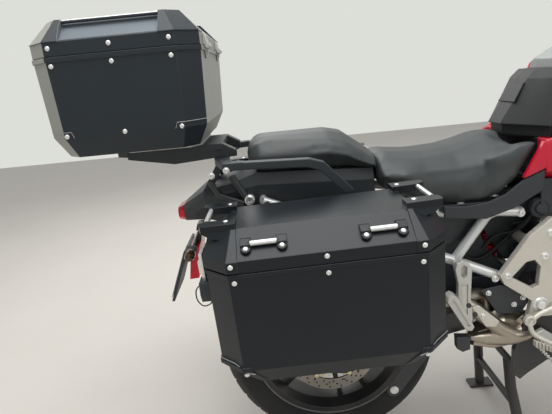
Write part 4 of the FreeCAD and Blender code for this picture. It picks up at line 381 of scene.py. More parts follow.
OWN_LOOK = {"tank_cover": "cover_grey", "fuel_tank": "tank_paint", "top_case_shell": "top_case_black",
            "top_case_lid": "top_lid_black", "pivot_plates": "frame_plate", "shock": "shock_paint"}
looks = {}
waiting = []


def look(name):
    """The material of that name, made the first time that it is asked for."""
    if name not in looks:
        looks[name] = leather(name, SEAT_COLOUR) if name == "seat_cover" else finish(name, **COLOURS[name])
    return looks[name]


# Meshes.

class Shape:
    """A mesh put together from loops of points, which are in metres; sizes are in millimetres."""

    def __init__(self):
        self.points = []
        self.faces = []

    def skin(self, loops, wrap=False):
        """Quads between loops that have the same number of points, closed at both ends."""
        start = len(self.points)
        count = len(loops[0])
        for loop in loops:
            self.points += loop
        for row in range(len(loops) if wrap else len(loops) - 1):
            here = start + row * count
            there = start + ((row + 1) % len(loops)) * count
            for step in range(count):
                following = (step + 1) % count
                self.faces.append([here + step, here + following, there + following, there + step])
        if not wrap:
            self.faces.append([start + step for step in reversed(range(count))])
            self.faces.append([start + (len(loops) - 1) * count + step for step in range(count)])
        return self

    def turned(self, middle, axis, profile, count=24):
        """A round body from (radius, distance along the axis) pairs."""
        axis = Vector(axis).normalized()
        across = axis.orthogonal().normalized()
        up = axis.cross(across)
        return self.skin([[middle + axis * (rise / 1000)
                           + (across * math.cos(turn) + up * math.sin(turn)) * (radius / 1000)
                           for turn in around(count)] for radius, rise in profile])

    def bar(self, line, radius, count=12):
        """A round bar along a line of points; radius may change from point to point."""
        sizes = radius if isinstance(radius, list) else [radius] * len(line)
        across = (line[1] - line[0]).orthogonal().normalized()
        loops = []
        for index, point in enumerate(line):
            before = line[max(index - 1, 0)]
            after = line[min(index + 1, len(line) - 1)]
            heading = (after - before).normalized()
            across = (across - heading * across.dot(heading)).normalized()
            up = heading.cross(across)
            loops.append([point + (across * math.cos(turn) + up * math.sin(turn)) * (sizes[index] / 1000)
                          for turn in around(count)])
        return self.skin(loops)

    def slab(self, outline, thickness, bevel=0.8):
        """A flat plate with softened rims; its thickness is a vector."""
        middle = sum(outline, Vector()) / len(outline)
        thickness = Vector(thickness) / 1000
        bevel /= 1000
        way = thickness.normalized() * bevel

        def shrunk(lift):
            return [point + (middle - point).normalized() * bevel + lift for point in outline]

        return self.skin([shrunk(Vector()), [point + way for point in outline],
                          [point + thickness - way for point in outline], shrunk(thickness)])

    def plate(self, y, outline, thickness, bevel=0.8):
        """A slab that stands along the machine, from (x, z) pairs."""
        return self.slab(upright(y, outline), (0, thickness, 0), bevel)

    def rivets(self, middles, facing, radius=5.2, height=2.2):
        """Domed rivet heads that stand on a surface."""
        for middle in middles:
            self.turned(middle, facing, [
                (radius, -1), (radius, 0.3), (radius * 0.86, height * 0.55), (radius * 0.55, height * 0.88),
                (radius * 0.1, height)], 20)
        return self

    def bolts(self, middles, facing, radius=7, height=6):
        """Cap bolts on their washers, hollow in the middle."""
        for middle in middles:
            self.turned(middle, facing, [
                (radius * 1.35, -1), (radius * 1.35, 1), (radius, 1.2), (radius, height - 1),
                (radius * 0.88, height), (radius * 0.5, height), (radius * 0.45, height - 3),
                (radius * 0.05, height - 3)], 20)
        return self


def rounded(points, bend=20, steps=5):
    """The line with each corner turned into a short curve."""
    line = [points[0]]
    for before, corner, after in zip(points, points[1:], points[2:]):
        first, last = (corner + (end - corner).normalized() * min(bend / 1000, (end - corner).length * 0.45)
                       for end in (before, after))
        for step in range(steps + 1):
            share = step / steps
            line.append(first * (1 - share) ** 2 + corner * 2 * share * (1 - share) + last * share ** 2)
    return line + [points[-1]]


def coil(low, high, rounds, radius, steps=24):
    """A spring's middle line round a damper, clear of both of the damper's ends."""
    across = Vector((0, 1, 0))
    up = (high - low).normalized().cross(across)
    return [low.lerp(high, 0.17 + 0.66 * step / (steps * rounds))
            + (across * math.cos(turn) + up * math.sin(turn)) * (radius / 1000)
            for step, turn in ((step, 2 * math.pi * step / steps) for step in range(steps * rounds + 1))]


def piece(name, slot, material=None, body="motorcycle"):
    """The empty shape of a new piece, which is built when its step has drawn it."""
    waiting.append((Shape(), name, slot, material, body))
    return waiting[-1][0]


def build(shape, name, slot, material=None, body="motorcycle", sharp=0.6):
    """Makes the piece, gives it its material and lets it ride on its body."""
    mesh = bpy.data.meshes.new(name)
    mesh.from_pydata([tuple(point) for point in shape.points], [], shape.faces)
    mesh.update()
    mesh.materials.append(look(material or slot))
    piece = bpy.data.objects.new(name, mesh)
    bpy.context.scene.collection.objects.link(piece)
    mesh.shade_smooth()
    mesh.set_sharp_from_angle(angle=sharp)
    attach(piece, body)
    return piece


# Soft pieces.

FOAM_PRESSURE = 4.0
FOAM_FRAMES = 14
VOXEL = 0.005


def settle(piece):
    """Writes the piece's modifiers into its mesh."""
    graph = bpy.context.evaluated_depsgraph_get()
    made = bpy.data.meshes.new_from_object(piece.evaluated_get(graph))
    piece.modifiers.clear()
    old = piece.data
    piece.data = made
    bpy.data.meshes.remove(old)


def corners(piece):
    return np.array([vertex.co[:] for vertex in piece.data.vertices])


def cushion(name, node, reach, passes, extra=None):
    """The seat's own shape blown up a little, as foam under a stretched cover."""
    mesh = model["nodes"][node].data.copy()
    if extra:
        points = [vertex.co.copy() for vertex in mesh.vertices]
        faces = [tuple(face.vertices) for face in mesh.polygons]
        faces += [tuple(index + len(points) for index in face) for face in extra.faces]
        mesh.clear_geometry()
        mesh.from_pydata([tuple(point) for point in points + extra.points], [], faces)
    piece = bpy.data.objects.new(name, mesh)
    bpy.context.scene.collection.objects.link(piece)
    low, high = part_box(node)
    middle = (low + high) / 2
    for vertex in mesh.vertices:
        vertex.co = middle + (vertex.co - middle) * 0.99
    remesh = piece.modifiers.new("Even", "REMESH")
    remesh.mode = "VOXEL"
    remesh.voxel_size = VOXEL
    settle(piece)
    before = corners(piece)
    cloth = piece.modifiers.new("Cover", "CLOTH").settings
    cloth.quality = 5
    cloth.use_pressure = True
    cloth.uniform_pressure_force = FOAM_PRESSURE
    cloth.tension_stiffness = cloth.compression_stiffness = 40
    cloth.bending_stiffness = 2.0
    cloth.effector_weights.gravity = 0.0
    for frame in range(1, FOAM_FRAMES + 1):
        bpy.context.scene.frame_set(frame)
    settle(piece)
    moved = corners(piece) - before
    length = np.linalg.norm(moved, axis=1, keepdims=True)
    moved *= np.minimum(1.0, reach / np.maximum(length, 1e-9))
    piece.data.vertices.foreach_set("co", (before + moved).astype(np.float32).ravel())
    bpy.context.scene.frame_set(1)
    smooth = piece.modifiers.new("Smooth", "SMOOTH")
    smooth.factor = 0.5
    smooth.iterations = passes
    settle(piece)
    piece.data.materials.clear()
    piece.data.materials.append(look("seat_cover"))
    piece.data.shade_smooth()
    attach(piece, "motorcycle")
    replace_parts(piece, node)


# Wheels.

TREAD_TURNS = 288
TREAD_ARC = 46


def tread(turn, share, blocks):
    """How deep the tyre is cut at this turn and share of its half width, from 0 to 1."""
    ring_at, ring_half, slant_half, wave_half = 0.34, 0.028, 0.085, 0.06
    side = abs(share)
    cut = 0.5 + 0.5 * math.cos(min(abs(side - ring_at) / ring_half, 1.0) * math.pi)
    step = turn * blocks / (2 * math.pi)
    if 0.12 < side < 0.96:
        slant = (step + side * 1.1 + (0.5 if share > 0 else 0.0)) % 1.0
        cut = max(cut, 1.0 - min(min(slant, 1 - slant) / slant_half, 1.0) ** 3)
    if side < 0.14:
        wave = (step + 0.25) % 1.0
        cut = max(cut, (1.0 - min(abs(wave - 0.5) / wave_half, 1.0) ** 3) * 0.8)
    return cut


def tyre(name, node, body, axle, outer, half, seat, rim_half, blocks, depth):
    """A tyre with a cut tread, between its two beads."""
    rise = (outer - seat) * 0.42
    shoulder = outer - rise
    crown = (half * half + rise * rise) / (2 * rise)
    limit = math.asin(half / crown)
    bead = rim_half - 1.0
    walls = []
    for side in (-1, 1):
        wall = [(seat + 1, side * (bead - 8), None), (seat + 1, side * bead, None),
                (seat + 12.5, side * bead, None), (seat + 15, side * (bead + 5), None)]
        for step in range(1, 9):
            share = step / 8
            across = bead + 5 + (half - bead - 5) * math.sin(share * math.pi / 2)
            wall.append((seat + 15 + (shoulder - seat - 17) * share, side * across, None))
        walls.append(wall)
    arc = []
    for step in range(TREAD_ARC + 1):
        share = -1 + 2 * step / TREAD_ARC
        angle = share * limit
        arc.append((outer - crown + crown * math.cos(angle), crown * math.sin(angle), share))
    loops = []
    for turn in around(TREAD_TURNS):
        loop = []
        for radius, across, share in walls[0] + arc + walls[1][::-1]:
            size = radius if share is None else radius - depth * tread(turn, share, blocks)
            loop.append(on_circle(place(axle[0], across, axle[2]), size, turn))
        loops.append(loop)
    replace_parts(build(Shape().skin(loops, wrap=True), name, "tyre", None, body, 0.7), node)


# Settings, operators and panel.

def size_property(name, description, default, low, high):
    return bpy.props.FloatProperty(name=name, description=description, default=default, min=low, max=high,
                                   subtype="DISTANCE", unit="LENGTH")


class MotorcycleSettings(bpy.types.PropertyGroup):
    """Sizes that the finish can be made with."""

    tread_depth: size_property("Tread depth", "How deep the tyres are cut", 0.0045, 0.0, 0.008)
    rivet_radius: size_property("Rivet radius", "Radius of a rivet head on the cases", 0.0052, 0.002, 0.01)
    seat_swell: size_property("Seat swell", "How far the foam may push a seat cover", 0.005, 0.0, 0.012)
    key_light: bpy.props.FloatProperty(name="Key light", description="Power of the main light in watts",
                                       default=38.0, min=0.0, max=500.0)


class Step(bpy.types.Operator):
    """What the steps that dress the motorcycle share: each draws its pieces, which are then built."""

    bl_idname = "motorcycle.step"
    bl_label = "Step"
    bl_options = {"REGISTER", "UNDO"}

    def execute(self, context):
        self.make(context.scene.motorcycle)
        while waiting:
            build(*waiting.pop(0))
        return {"FINISHED"}

    def make(self, settings):
        raise NotImplementedError


class MOTORCYCLE_OT_surfaces(Step):
    """Gives every construction piece its surface."""

    bl_idname = "motorcycle.surfaces"
    bl_label = "Surfaces"

    def make(self, settings):
        slots = {row["node"]: row["material_slot"] for row in model["record"]["subparts"]}
        for name, piece in model["nodes"].items():
            material = look(OWN_LOOK.get(name, slots[name]))
            if not piece.material_slots:
                piece.data.materials.append(material)
            for holder in piece.material_slots:
                holder.material = material


class MOTORCYCLE_OT_tyres(Step):
    """Puts tyres with a cut tread on both rims."""

    bl_idname = "motorcycle.tyres"
    bl_label = "Tyres"

    def make(self, settings):
        depth = settings.tread_depth * 1000
        tyre("rear_tyre_tread", "rear_tyre", "rear_wheel", REAR_AXLE, outer=318, half=85, seat=214,
             rim_half=60, blocks=30, depth=depth)
        tyre("front_tyre_tread", "front_tyre", "front_wheel", FRONT_AXLE, outer=325, half=60, seat=238,
             rim_half=41, blocks=34, depth=depth)


class MOTORCYCLE_OT_wheels(Step):
    """Axle nuts and the swingarm's bolts, disc carriers and holes, and the rims' bright lips."""

    bl_idname = "motorcycle.wheels"
    bl_label = "Wheel details"

    def make(self, settings):
        nuts = piece("axle_nuts", "silver_casting", "bright_steel")
        nuts.turned(place(0, -139.5, 338), RIGHT, [(20, -1), (20, 4), (17, 8), (14, 8), (12, 3), (2, 3)], 30)
        nuts.turned(place(164, -145, 230), RIGHT,
                    [(12, -0.5), (12, 2), (8.5, 2.2), (8.5, 6), (6, 6.5), (5, 4), (1, 4)])
        rear = ("rear_wheel", REAR_AXLE, 80.5, 104, 131, 92, 68.4, (223.5, 226.2))
        front = ("front_wheel", FRONT_AXLE, 68.5, 118, 156, 100, 49.4, (248.0, 250.6))
        for name, side, (body, axle, y, inner, outer, carrier, lip_y, lips) in (
                ("rear", -1, rear), ("front_right", -1, front), ("front_left", 1, front)):
            centre = place(axle[0], side * y, axle[2])
            out = (0, side, 0)
            holes = piece(name + "_disc_holes", "disc_steel", "wheel_black", body)
            for ring in range(3):
                radius = inner + 4 + (outer - inner - 8) * ring / 2
                for turn in around(24, ring / 3):
                    holes.turned(on_circle(centre, radius, turn), out,
                                 [(3.1, -0.4), (3.1, 0.3), (0.4, 0.3)], 8)
            lip = piece(name + "_rim_lip", "wheel_black", "bare_metal", body)
            for radius in lips:
                ring = circle(place(axle[0], side * lip_y, axle[2]), radius, 96)
                lip.bar(ring + ring[:1], 0.7, 6)
            carriers = piece(name + "_disc_carrier", "disc_steel", "spring_gold", body)
            for turn in around(6):
                carriers.slab([on_circle(on_circle(centre, outward, turn), across, turn + math.pi / 2)
                               for outward, across in ((carrier - 52, -10), (carrier - 52, 10), (carrier, 17),
                                                       (carrier + 6, 0), (carrier, -17))], (0, side * 3, 0))
                carriers.turned(on_circle(centre, carrier + 4, turn), out, [(7, -1), (7, 4), (3, 5)], 16)


class MOTORCYCLE_OT_seats(Step):
    """Pads both seats."""

    bl_idname = "motorcycle.seats"
    bl_label = "Seats"

    def make(self, settings):
        wedge = Shape()
        for side in (-1, 1):
            wedge.skin([[place(x, side * y, z) for y, z in (
                (58, top - 40), (58, top), (114, rise), (153, rise), (153, rise - 40))]
                for x, top, rise in ((415, 888, 868), (465, 904, 886), (492, 906, 898))])
        cushion("rider_cushion", "rider_seat", settings.seat_swell, 14, wedge)
        cushion("passenger_cushion", "passenger_seat", settings.seat_swell, 5)


class MOTORCYCLE_OT_cases(Step):
    """Rivets, rods, loops and edge lines on the three cases."""

    bl_idname = "motorcycle.cases"
    bl_label = "Cases"

    def make(self, settings):
        size = settings.rivet_radius * 1000
        for tag, side, out in SIDES:
            lid = "pannier_lid_" + tag
            ears = piece(lid + "_loop_ears", "case_black", body=lid)
            rivets = piece(lid + "_rivets", "case_black", "bright_steel", lid)
            for points, facing in ((((-184, 467.5, 16), (0, 465, 16), (184, 467.5, 16)), out),
                                   ([(x, y, 84) for x in (-190, 190) for y in (253, 385)], UP)):
                rivets.rivets(spots(points, side, on_case), facing, size)
            slope = Vector((0, side * 47, 61)).normalized()
            for middle in spots([(x, 450.5, 44) for x in (-152, -82, 79, 149)], side, on_case):
                rivets.rivets([middle + slope * 0.0012], slope, size)
                ears.turned(middle, slope, [(9.8, -6), (9.8, -0.2), (8.6, 1), (2, 1.2)])
            rods = piece(lid + "_rods", "case_black", "bright_steel", lid)
            for x in (-233, 233):
                rods.bar(spots(((x, 268, 78), (x, 362, 78)), side, on_case), ROD)
            for x in (-117, 114):
                rods.bar(spots(((x - 25.5, 443.5, 51.5), (x + 25.5, 443.5, 51.5)), side, on_case), ROD)
            lower = piece("pannier_rivets_" + tag, "case_black", "bright_steel")
            for points, facing in ((((-181, 465, -18), (0, 465, -18), (181, 465, -18)), out),
                                   (((-184, 461.5, -222), (184, 461.5, -222)), (0, side, -0.5))):
                lower.rivets(spots(points, side, on_case), facing, size)
            edges = piece("bracket_edges_" + tag, "case_black", "bare_metal")
            for way in (1, -1):
                edges.bar([on_case(way * x, side * y, z) for x, y, z in (
                    (166, 466, -219), (180, 466, -215), (206, 450, -199), (238, 420, -199))], EDGE, 6)
        lid = piece("top_case_lid_rivets", "case_black", "bright_steel", "top_case_lid")
        shell = piece("top_case_rivets", "case_black", "bright_steel")
        guards = piece("top_case_guards", "case_black", "bare_metal")
        rods = piece("top_case_rods", "case_black", "bright_steel", "top_case_lid")
        for tag, side, out in SIDES:
            for way in (-1, 1):
                guards.bar([on_top(way * x, side * y, z) for x, y, z in (
                    (177.5, 201.8, 1037), (134.8, 243.9, 1037), (117, 243.9, 1037), (112, 243.3, 1024))],
                    EDGE, 6)
            for x in (-128, 0, 126):
                for shape, y, z, facing in ((lid, 251, 1213, out), (shell, 251, 1177, out),
                                            (shell, 243.2, 1028, (0, side, -0.05))):
                    shape.rivets([on_top(x, side * y, z)], facing, size)
            rods.bar(spots(((-103, 207.5, 1266), (103, 207.5, 1266)), side, on_top), ROD)


# Plates about the rear frame, each with its y, a bracket's thickness and its (x, z) outline.
INNER_COVERS = (
    (118, ((262, 762), (545, 762), (592, 752), (505, 726), (436, 720), (378, 660), (330, 640), (262, 690))),
    (58, ((440, 728), (600, 735), (600, 560), (505, 560), (470, 610), (425, 690))),
    (62, ((335, 760), (425, 760), (412, 700), (452, 600), (490, 548), (600, 548), (600, 515), (470, 515),
          (430, 470), (330, 470), (322, 560))),
    (149, ((290, 746), (470, 746), (470, 774), (420, 760), (290, 760))),
    (147, ((548, 712), (700, 716), (760, 760), (760, 806), (640, 800), (548, 806))))
BRACKETS = (
    (-150.5, -3, ((399, 517), (452, 528), (512, 505), (527, 470), (509, 440), (446, 445))),
    (-139, -6, ((150, 244), (192, 306), (230, 358), (282, 378), (262, 330), (182, 220), (168, 208),
                (152, 211), (144, 226))),
    (-96, 3, ((380, 530), (560, 530), (560, 440), (505, 408), (425, 414))),
    (-176, 22, ((328, 399), (363, 395), (365, 358), (345, 352), (330, 362))))


class MOTORCYCLE_OT_frame(Step):
    """Inner covers, bolts, brackets, hoses, the spring and the exhaust's bend beside the rear frame."""

    bl_idname = "motorcycle.frame"
    bl_label = "Frame details"

    def make(self, settings):
        covers = piece("inner_covers", "black_plastic")
        for tag, side, out in SIDES:
            for y, outline in INNER_COVERS:
                covers.plate(side * y, outline, side * 3)
            for z in (590, 625, 660):
                covers.bar(spots(((515, 63, z), (590, 63, z + 12)), side), 4)
        bracket = piece("pivot_bracket", "frame_paint")
        for y, thickness, outline in BRACKETS:
            bracket.plate(y, outline, thickness)
        bolts = piece("frame_bolts", "silver_casting", "bright_steel")
        for tag, side, out in SIDES:
            for x, z, radius in ((553, 607, 8.5), (565, 670, 8.5), (459, 561, 7), (594, 500, 6.5),
                                 (600, 430, 7)):
                bolts.bolts([place(x, side * 172, z)], out, radius)
            bolts.turned(place(549, side * 172, 471), out, [(21, -1), (21, 2), (18, 5), (16.5, 5), (15.5, 2),
                                                            (11, 2), (11, 9), (9, 10.5), (3, 10.5)], 32)
            bolts.bolts(upright(side * 153, ((438, 548), (423, 731), (498, 722))), out, 7.5)
        bolts.bolts(upright(-153.5, ((489, 468), (512, 486), (420, 508))), RIGHT, 5.5)
        knob = piece("preload_knob", "black_plastic")
        knob.turned(place(549, -128, 728), RIGHT, [(20, 0), (25, 4), (25, 20), (21, 24), (19, 18), (13, 18),
                                                   (11, 23), (4, 23)], 36)
        hoses = piece("hoses", "black_plastic", "rubber_hose")
        for line in (((549, -126, 720), (520, -112, 660), (470, -70, 640), (440, -66, 600)),
                     ((600, -66, 700), (540, -70, 660), (430, -72, 560), (360, -68, 600)),
                     ((590, 70, 690), (520, 76, 640), (430, 72, 580), (360, 66, 620))):
            hoses.bar(rounded(spots(line), 50, 8), 4.5)
        spring = coil(place(452, 0, 501.3), place(496.4, 0, 698.2), 8, 37.5)
        piece("shock_spring", "red_spring").bar(spring, 5.5, 10)
        bend = piece("exhaust_bend", "exhaust_steel")
        bend.bar(rounded(spots(((352, -150, 492), (392, -158, 458), (452, -158, 400), (506, -156, 372),
                                (530, -150, 398), (512, -136, 422))), 35, 8), 20.5, 24)
        bend.bar(rounded(spots(((372, -152, 378), (420, -153, 376), (484, -152, 374), (536, -150, 386),
                                (572, -144, 414))), 30, 4),
                 [5, 15, 18, 20, 22, 23, 24, 25, 26, 26, 26, 26, 25, 24, 23, 22, 20], 24)
        shield = piece("heat_shield", "silver_casting", "champagne_casting")
        shield.plate(-176, ((366, 484), (384, 488), (440, 436), (430, 420), (404, 424)), -3)
        piece("heat_shield_bolt", "silver_casting", "bright_steel").bolts([place(394, -179, 458)], RIGHT, 5)


class MOTORCYCLE_OT_controls(Step):
    """Foot controls and the fittings of the passenger's hangers."""

    bl_idname = "motorcycle.controls"
    bl_label = "Foot controls"

    def make(self, settings):
        for tag, side, out in SIDES:
            arm = piece("foot_control_" + tag, "silver_casting", "champagne_casting")
            arm.bar(rounded(spots(((592, 184, 470), (540, 186, 452), (512, 190, 432), (520, 196, 398),
                                   (566, 204, 372)), side)), 6.5)
            arm.turned(place(514, side * 182, 436), out, [(15, 0), (15, 12), (9, 14), (9, 10), (2, 10)])
            for step in range(7):
                x, z = 516 + step * 9, 392 - step * 4
                arm.plate(side * 206, ((x, z), (x + 5, z - 2), (x + 5, z - 18), (x, z - 16)), side * 16)
            teeth = piece("peg_teeth_" + tag, "silver_casting")
            for step in range(8):
                for x in (528, 568):
                    teeth.plate(side * (206 + step * 10.5), ((x, 363), (x + 7, 363), (x + 7, 370), (x, 370)),
                                side * 4)
            web = piece("hanger_web_" + tag, "silver_casting", "champagne_casting")
            web.plate(side * 182, ((334.5, 555), (334.5, 497), (349.5, 471), (349.5, 555)), side * 6.2)
            marks = piece("hanger_marks_" + tag, "frame_paint", "black_plastic")
            for x, z in ((352, 494), (336, 520)):
                marks.turned(place(x, side * 233, z), out, [(6, -4), (6, 0.6), (2, 0.6)], 20)


# Both plates of a latch's arm and its lock, on a side case: x, thickness and (y, z) outline.
LATCHES = (
    (-247, -7, ((366, 24), (396, 24), (394, -20), (388, -42), (374, -42), (368, -20))),
    (-254, -5, ((372, 6), (390, 6), (388, -20), (374, -20))),
    (-240, -22, ((362, -38), (400, -38), (402, -64), (394, -82), (368, -82), (360, -64))))


class MOTORCYCLE_OT_tail(Step):
    """Latches behind the cases, reflector, number plate, indicators, bolts and struts about the tail."""

    bl_idname = "motorcycle.tail"
    bl_label = "Tail details"

    def make(self, settings):
        for tag, side, out in SIDES:
            latch = piece("latch_arm_" + tag, "case_black", "bright_steel")
            lock = piece("latch_lock_" + tag, "case_black", "black_plastic")
            for shape, (x, thickness, outline) in zip((latch, latch, lock), LATCHES):
                shape.slab([on_case(x, side * y, z) for y, z in outline], (thickness, 0, 0))
            wire = rounded(spots(((-258, 384, -44), (-274, 386, -56), (-274, 386, -82), (-262, 384, -98),
                                  (-244, 384, -92), (-243, 384, -78)), side, on_case), 12, 6)
            piece("latch_wire_" + tag, "case_black", "rubber_hose").bar(wire, 1.4, 8)
        reflector = piece("reflector_block", "red_lens")
        reflector.plate(-66, ((-362, 690), (-340, 684), (-352, 592), (-378, 590)), 132)
        plate = piece("number_plate", "black_plastic", "plate_white")
        plate.slab(spots(((-383, -74, 672), (-383, 74, 672), (-434.5, 74, 542), (-434.5, -74, 542))),
                   (-1.6, 0, 0.6))
        for tag, side, out in SIDES:
            lamp = piece("rear_indicator_" + tag, "lamp_glass", "smoked_lens")
            lamp.turned(place(-352, side * 128, 690), out,
                        [(10, -2), (13.5, 4), (13.5, 28), (10, 36), (3, 39)], 20)
        bolts = piece("tail_bolts", "silver_casting", "bright_steel")
        struts = piece("tail_struts", "frame_paint")
        for tag, side, out in SIDES:
            bolts.turned(place(-184, side * 118, 815), out,
                         [(13, -12), (13, 4), (10, 7), (6, 7), (5, 3), (1, 3)])
            bolts.bolts(upright(side * 204, ((-262, 903), (-226, 912))), out, 6)
            struts.bar(spots(((-225, 108, 880), (-205, 110, 842), (-188, 112, 812)), side), 9)
            struts.bar(spots(((-280, 106, 868), (-262, 108, 830), (-200, 112, 806)), side), 8)


class MOTORCYCLE_OT_tank(Step):
    """The filler cap and the raised mark on the tank cover."""

    bl_idname = "motorcycle.tank"
    bl_label = "Tank details"

    def make(self, settings):
        cap = piece("filler_cap", "silver_casting")
        cap.turned(place(736, 0, 1146), UP, [(44, -6), (44, 1), (41, 4), (20, 5), (18, 3), (3, 3)], 40)
        cap.rivets([place(736 + 37 * math.cos(turn), 37 * math.sin(turn), 1149.6) for turn in around(6)],
                   UP, 3, 1.5)
        mark = piece("tank_cover_mark", "black_plastic", "cover_grey")
        mark.slab(spots(((525.6, 44, 988), (525.6, -44, 988), (556, -34, 1036), (556, 34, 1036))),
                  (-2.6, 0, 1.6), 1.2)


# Both ends of a rib on the cylinders and its thickness, as (first rib, what the last one adds) for x and z.
RIBS = ((((733, -50), (520, 145)), ((848, -36), (528, 150)), ((0, 0), (6, 0))),
        (((905, 118), (470, 65)), ((868, 118), (530, 62)), ((5, 0), (3, 0))))


class MOTORCYCLE_OT_engine(Step):
    """Covers, cooling ribs and bolts on the engine."""

    bl_idname = "motorcycle.engine"
    bl_label = "Engine details"

    def make(self, settings):
        covers = piece("engine_covers", "engine_casting")
        bolts = piece("engine_bolts", "engine_casting", "bright_steel")
        for tag, side, out in SIDES:
            covers.turned(place(849, side * 152, 411), out, [(78, -4), (78, 4), (70, 10), (46, 12), (43, 8),
                                                             (4, 9)], 44)
            covers.turned(place(710, side * 134, 430), out, [(50, -4), (50, 12), (44, 18), (4, 19)], 36)
            bolts.bolts(circle(place(849, side * 155, 411), 82, 9), out, 4.8, 5)
            bolts.bolts(circle(place(710, side * 152, 430), 47, 6), out, 4, 4)
            for step in range(8):
                for ends in RIBS:
                    first, last, (over, up) = ([a + b * step / 7 for a, b in end] for end in ends)
                    covers.plate(side * 104, (first, last, (last[0] + over, last[1] + up),
                                              (first[0] + over, first[1] + up)), side * 8, 1.2)


class MOTORCYCLE_OT_chain(Step):
    """Pins and side plates along the drive chain."""

    bl_idname = "motorcycle.chain"
    bl_label = "Chain links"

    def make(self, settings):
        pitch, front_x, front_z, rear_z, big, small = 15.875, 627, 463, REAR_AXLE[2], 106, 43
        rise = math.atan2(front_z - rear_z, front_x)
        lean = math.acos((big - small) / math.hypot(front_x, front_z - rear_z))
        path = []
        for step in range(25):
            turn = rise + lean - 2 * lean * step / 24
            path.append((front_x + small * math.cos(turn), front_z + small * math.sin(turn)))
        for step in range(49):
            turn = rise - lean - (2 * math.pi - 2 * lean) * step / 48
            path.append((big * math.cos(turn), rear_z + big * math.sin(turn)))
        path.append(path[0])
        lengths = [math.dist(first, last) for first, last in zip(path, path[1:])]
        count = 2 * round(sum(lengths) / pitch / 2)
        pins = []
        travelled = 0.0
        index = 0
        for step in range(count):
            target = sum(lengths) * step / count
            while travelled + lengths[index] < target:
                travelled += lengths[index]
                index += 1
            share = (target - travelled) / lengths[index]
            pins.append([a + (b - a) * share for a, b in zip(path[index], path[index + 1])])
        links = piece("chain_links", "chain_steel")
        for step, pin in enumerate(pins):
            lift = 0.8 if step % 2 else 0.0
            for y, side in ((91 - lift, -1), (106 + lift, 1)):
                here, there = (place(x, y, z) for x, z in (pin, pins[(step + 1) % count]))
                ahead = (there - here).normalized()
                wide = Vector((-ahead.z, 0, ahead.x)) * 0.0042
                links.turned(here, (0, side, 0),
                             [(6.2, -1), (6.2, 0.8), (2.8, 0.8), (2.6, 1.6), (0.4, 1.6)], 10)
                links.slab([here + wide, there + wide, there - wide, here - wide], (0, side * 0.7, 0), 0.2)


# Rows along a hand guard: share of the grip, forward, outward, up and down.
HAND_GUARD = ((0.24, 84, 0, 22, 26), (0.4, 92, 2, 34, 36), (0.6, 101, 8, 44, 46), (0.8, 98, 11, 44, 46),
              (0.98, 80, 13, 34, 36), (1.06, 68, 14, 20, 22))
GRIP = ((-65, -157), (230, 420), (949.5, 927.5))
MIRROR = ((-56, -30), (-50, -35), (50, -35), (56, -30), (60, 24), (52, 34), (-52, 34), (-60, 24))


def beside_bar(side, share, forward=0, outward=0, upward=0):
    """A place near the handlebar, at this share of the way along its grip."""
    x, y, z = (start + (end - start) * share for start, end in GRIP)
    return on_fork(x + forward, side * (y + outward), z + upward)


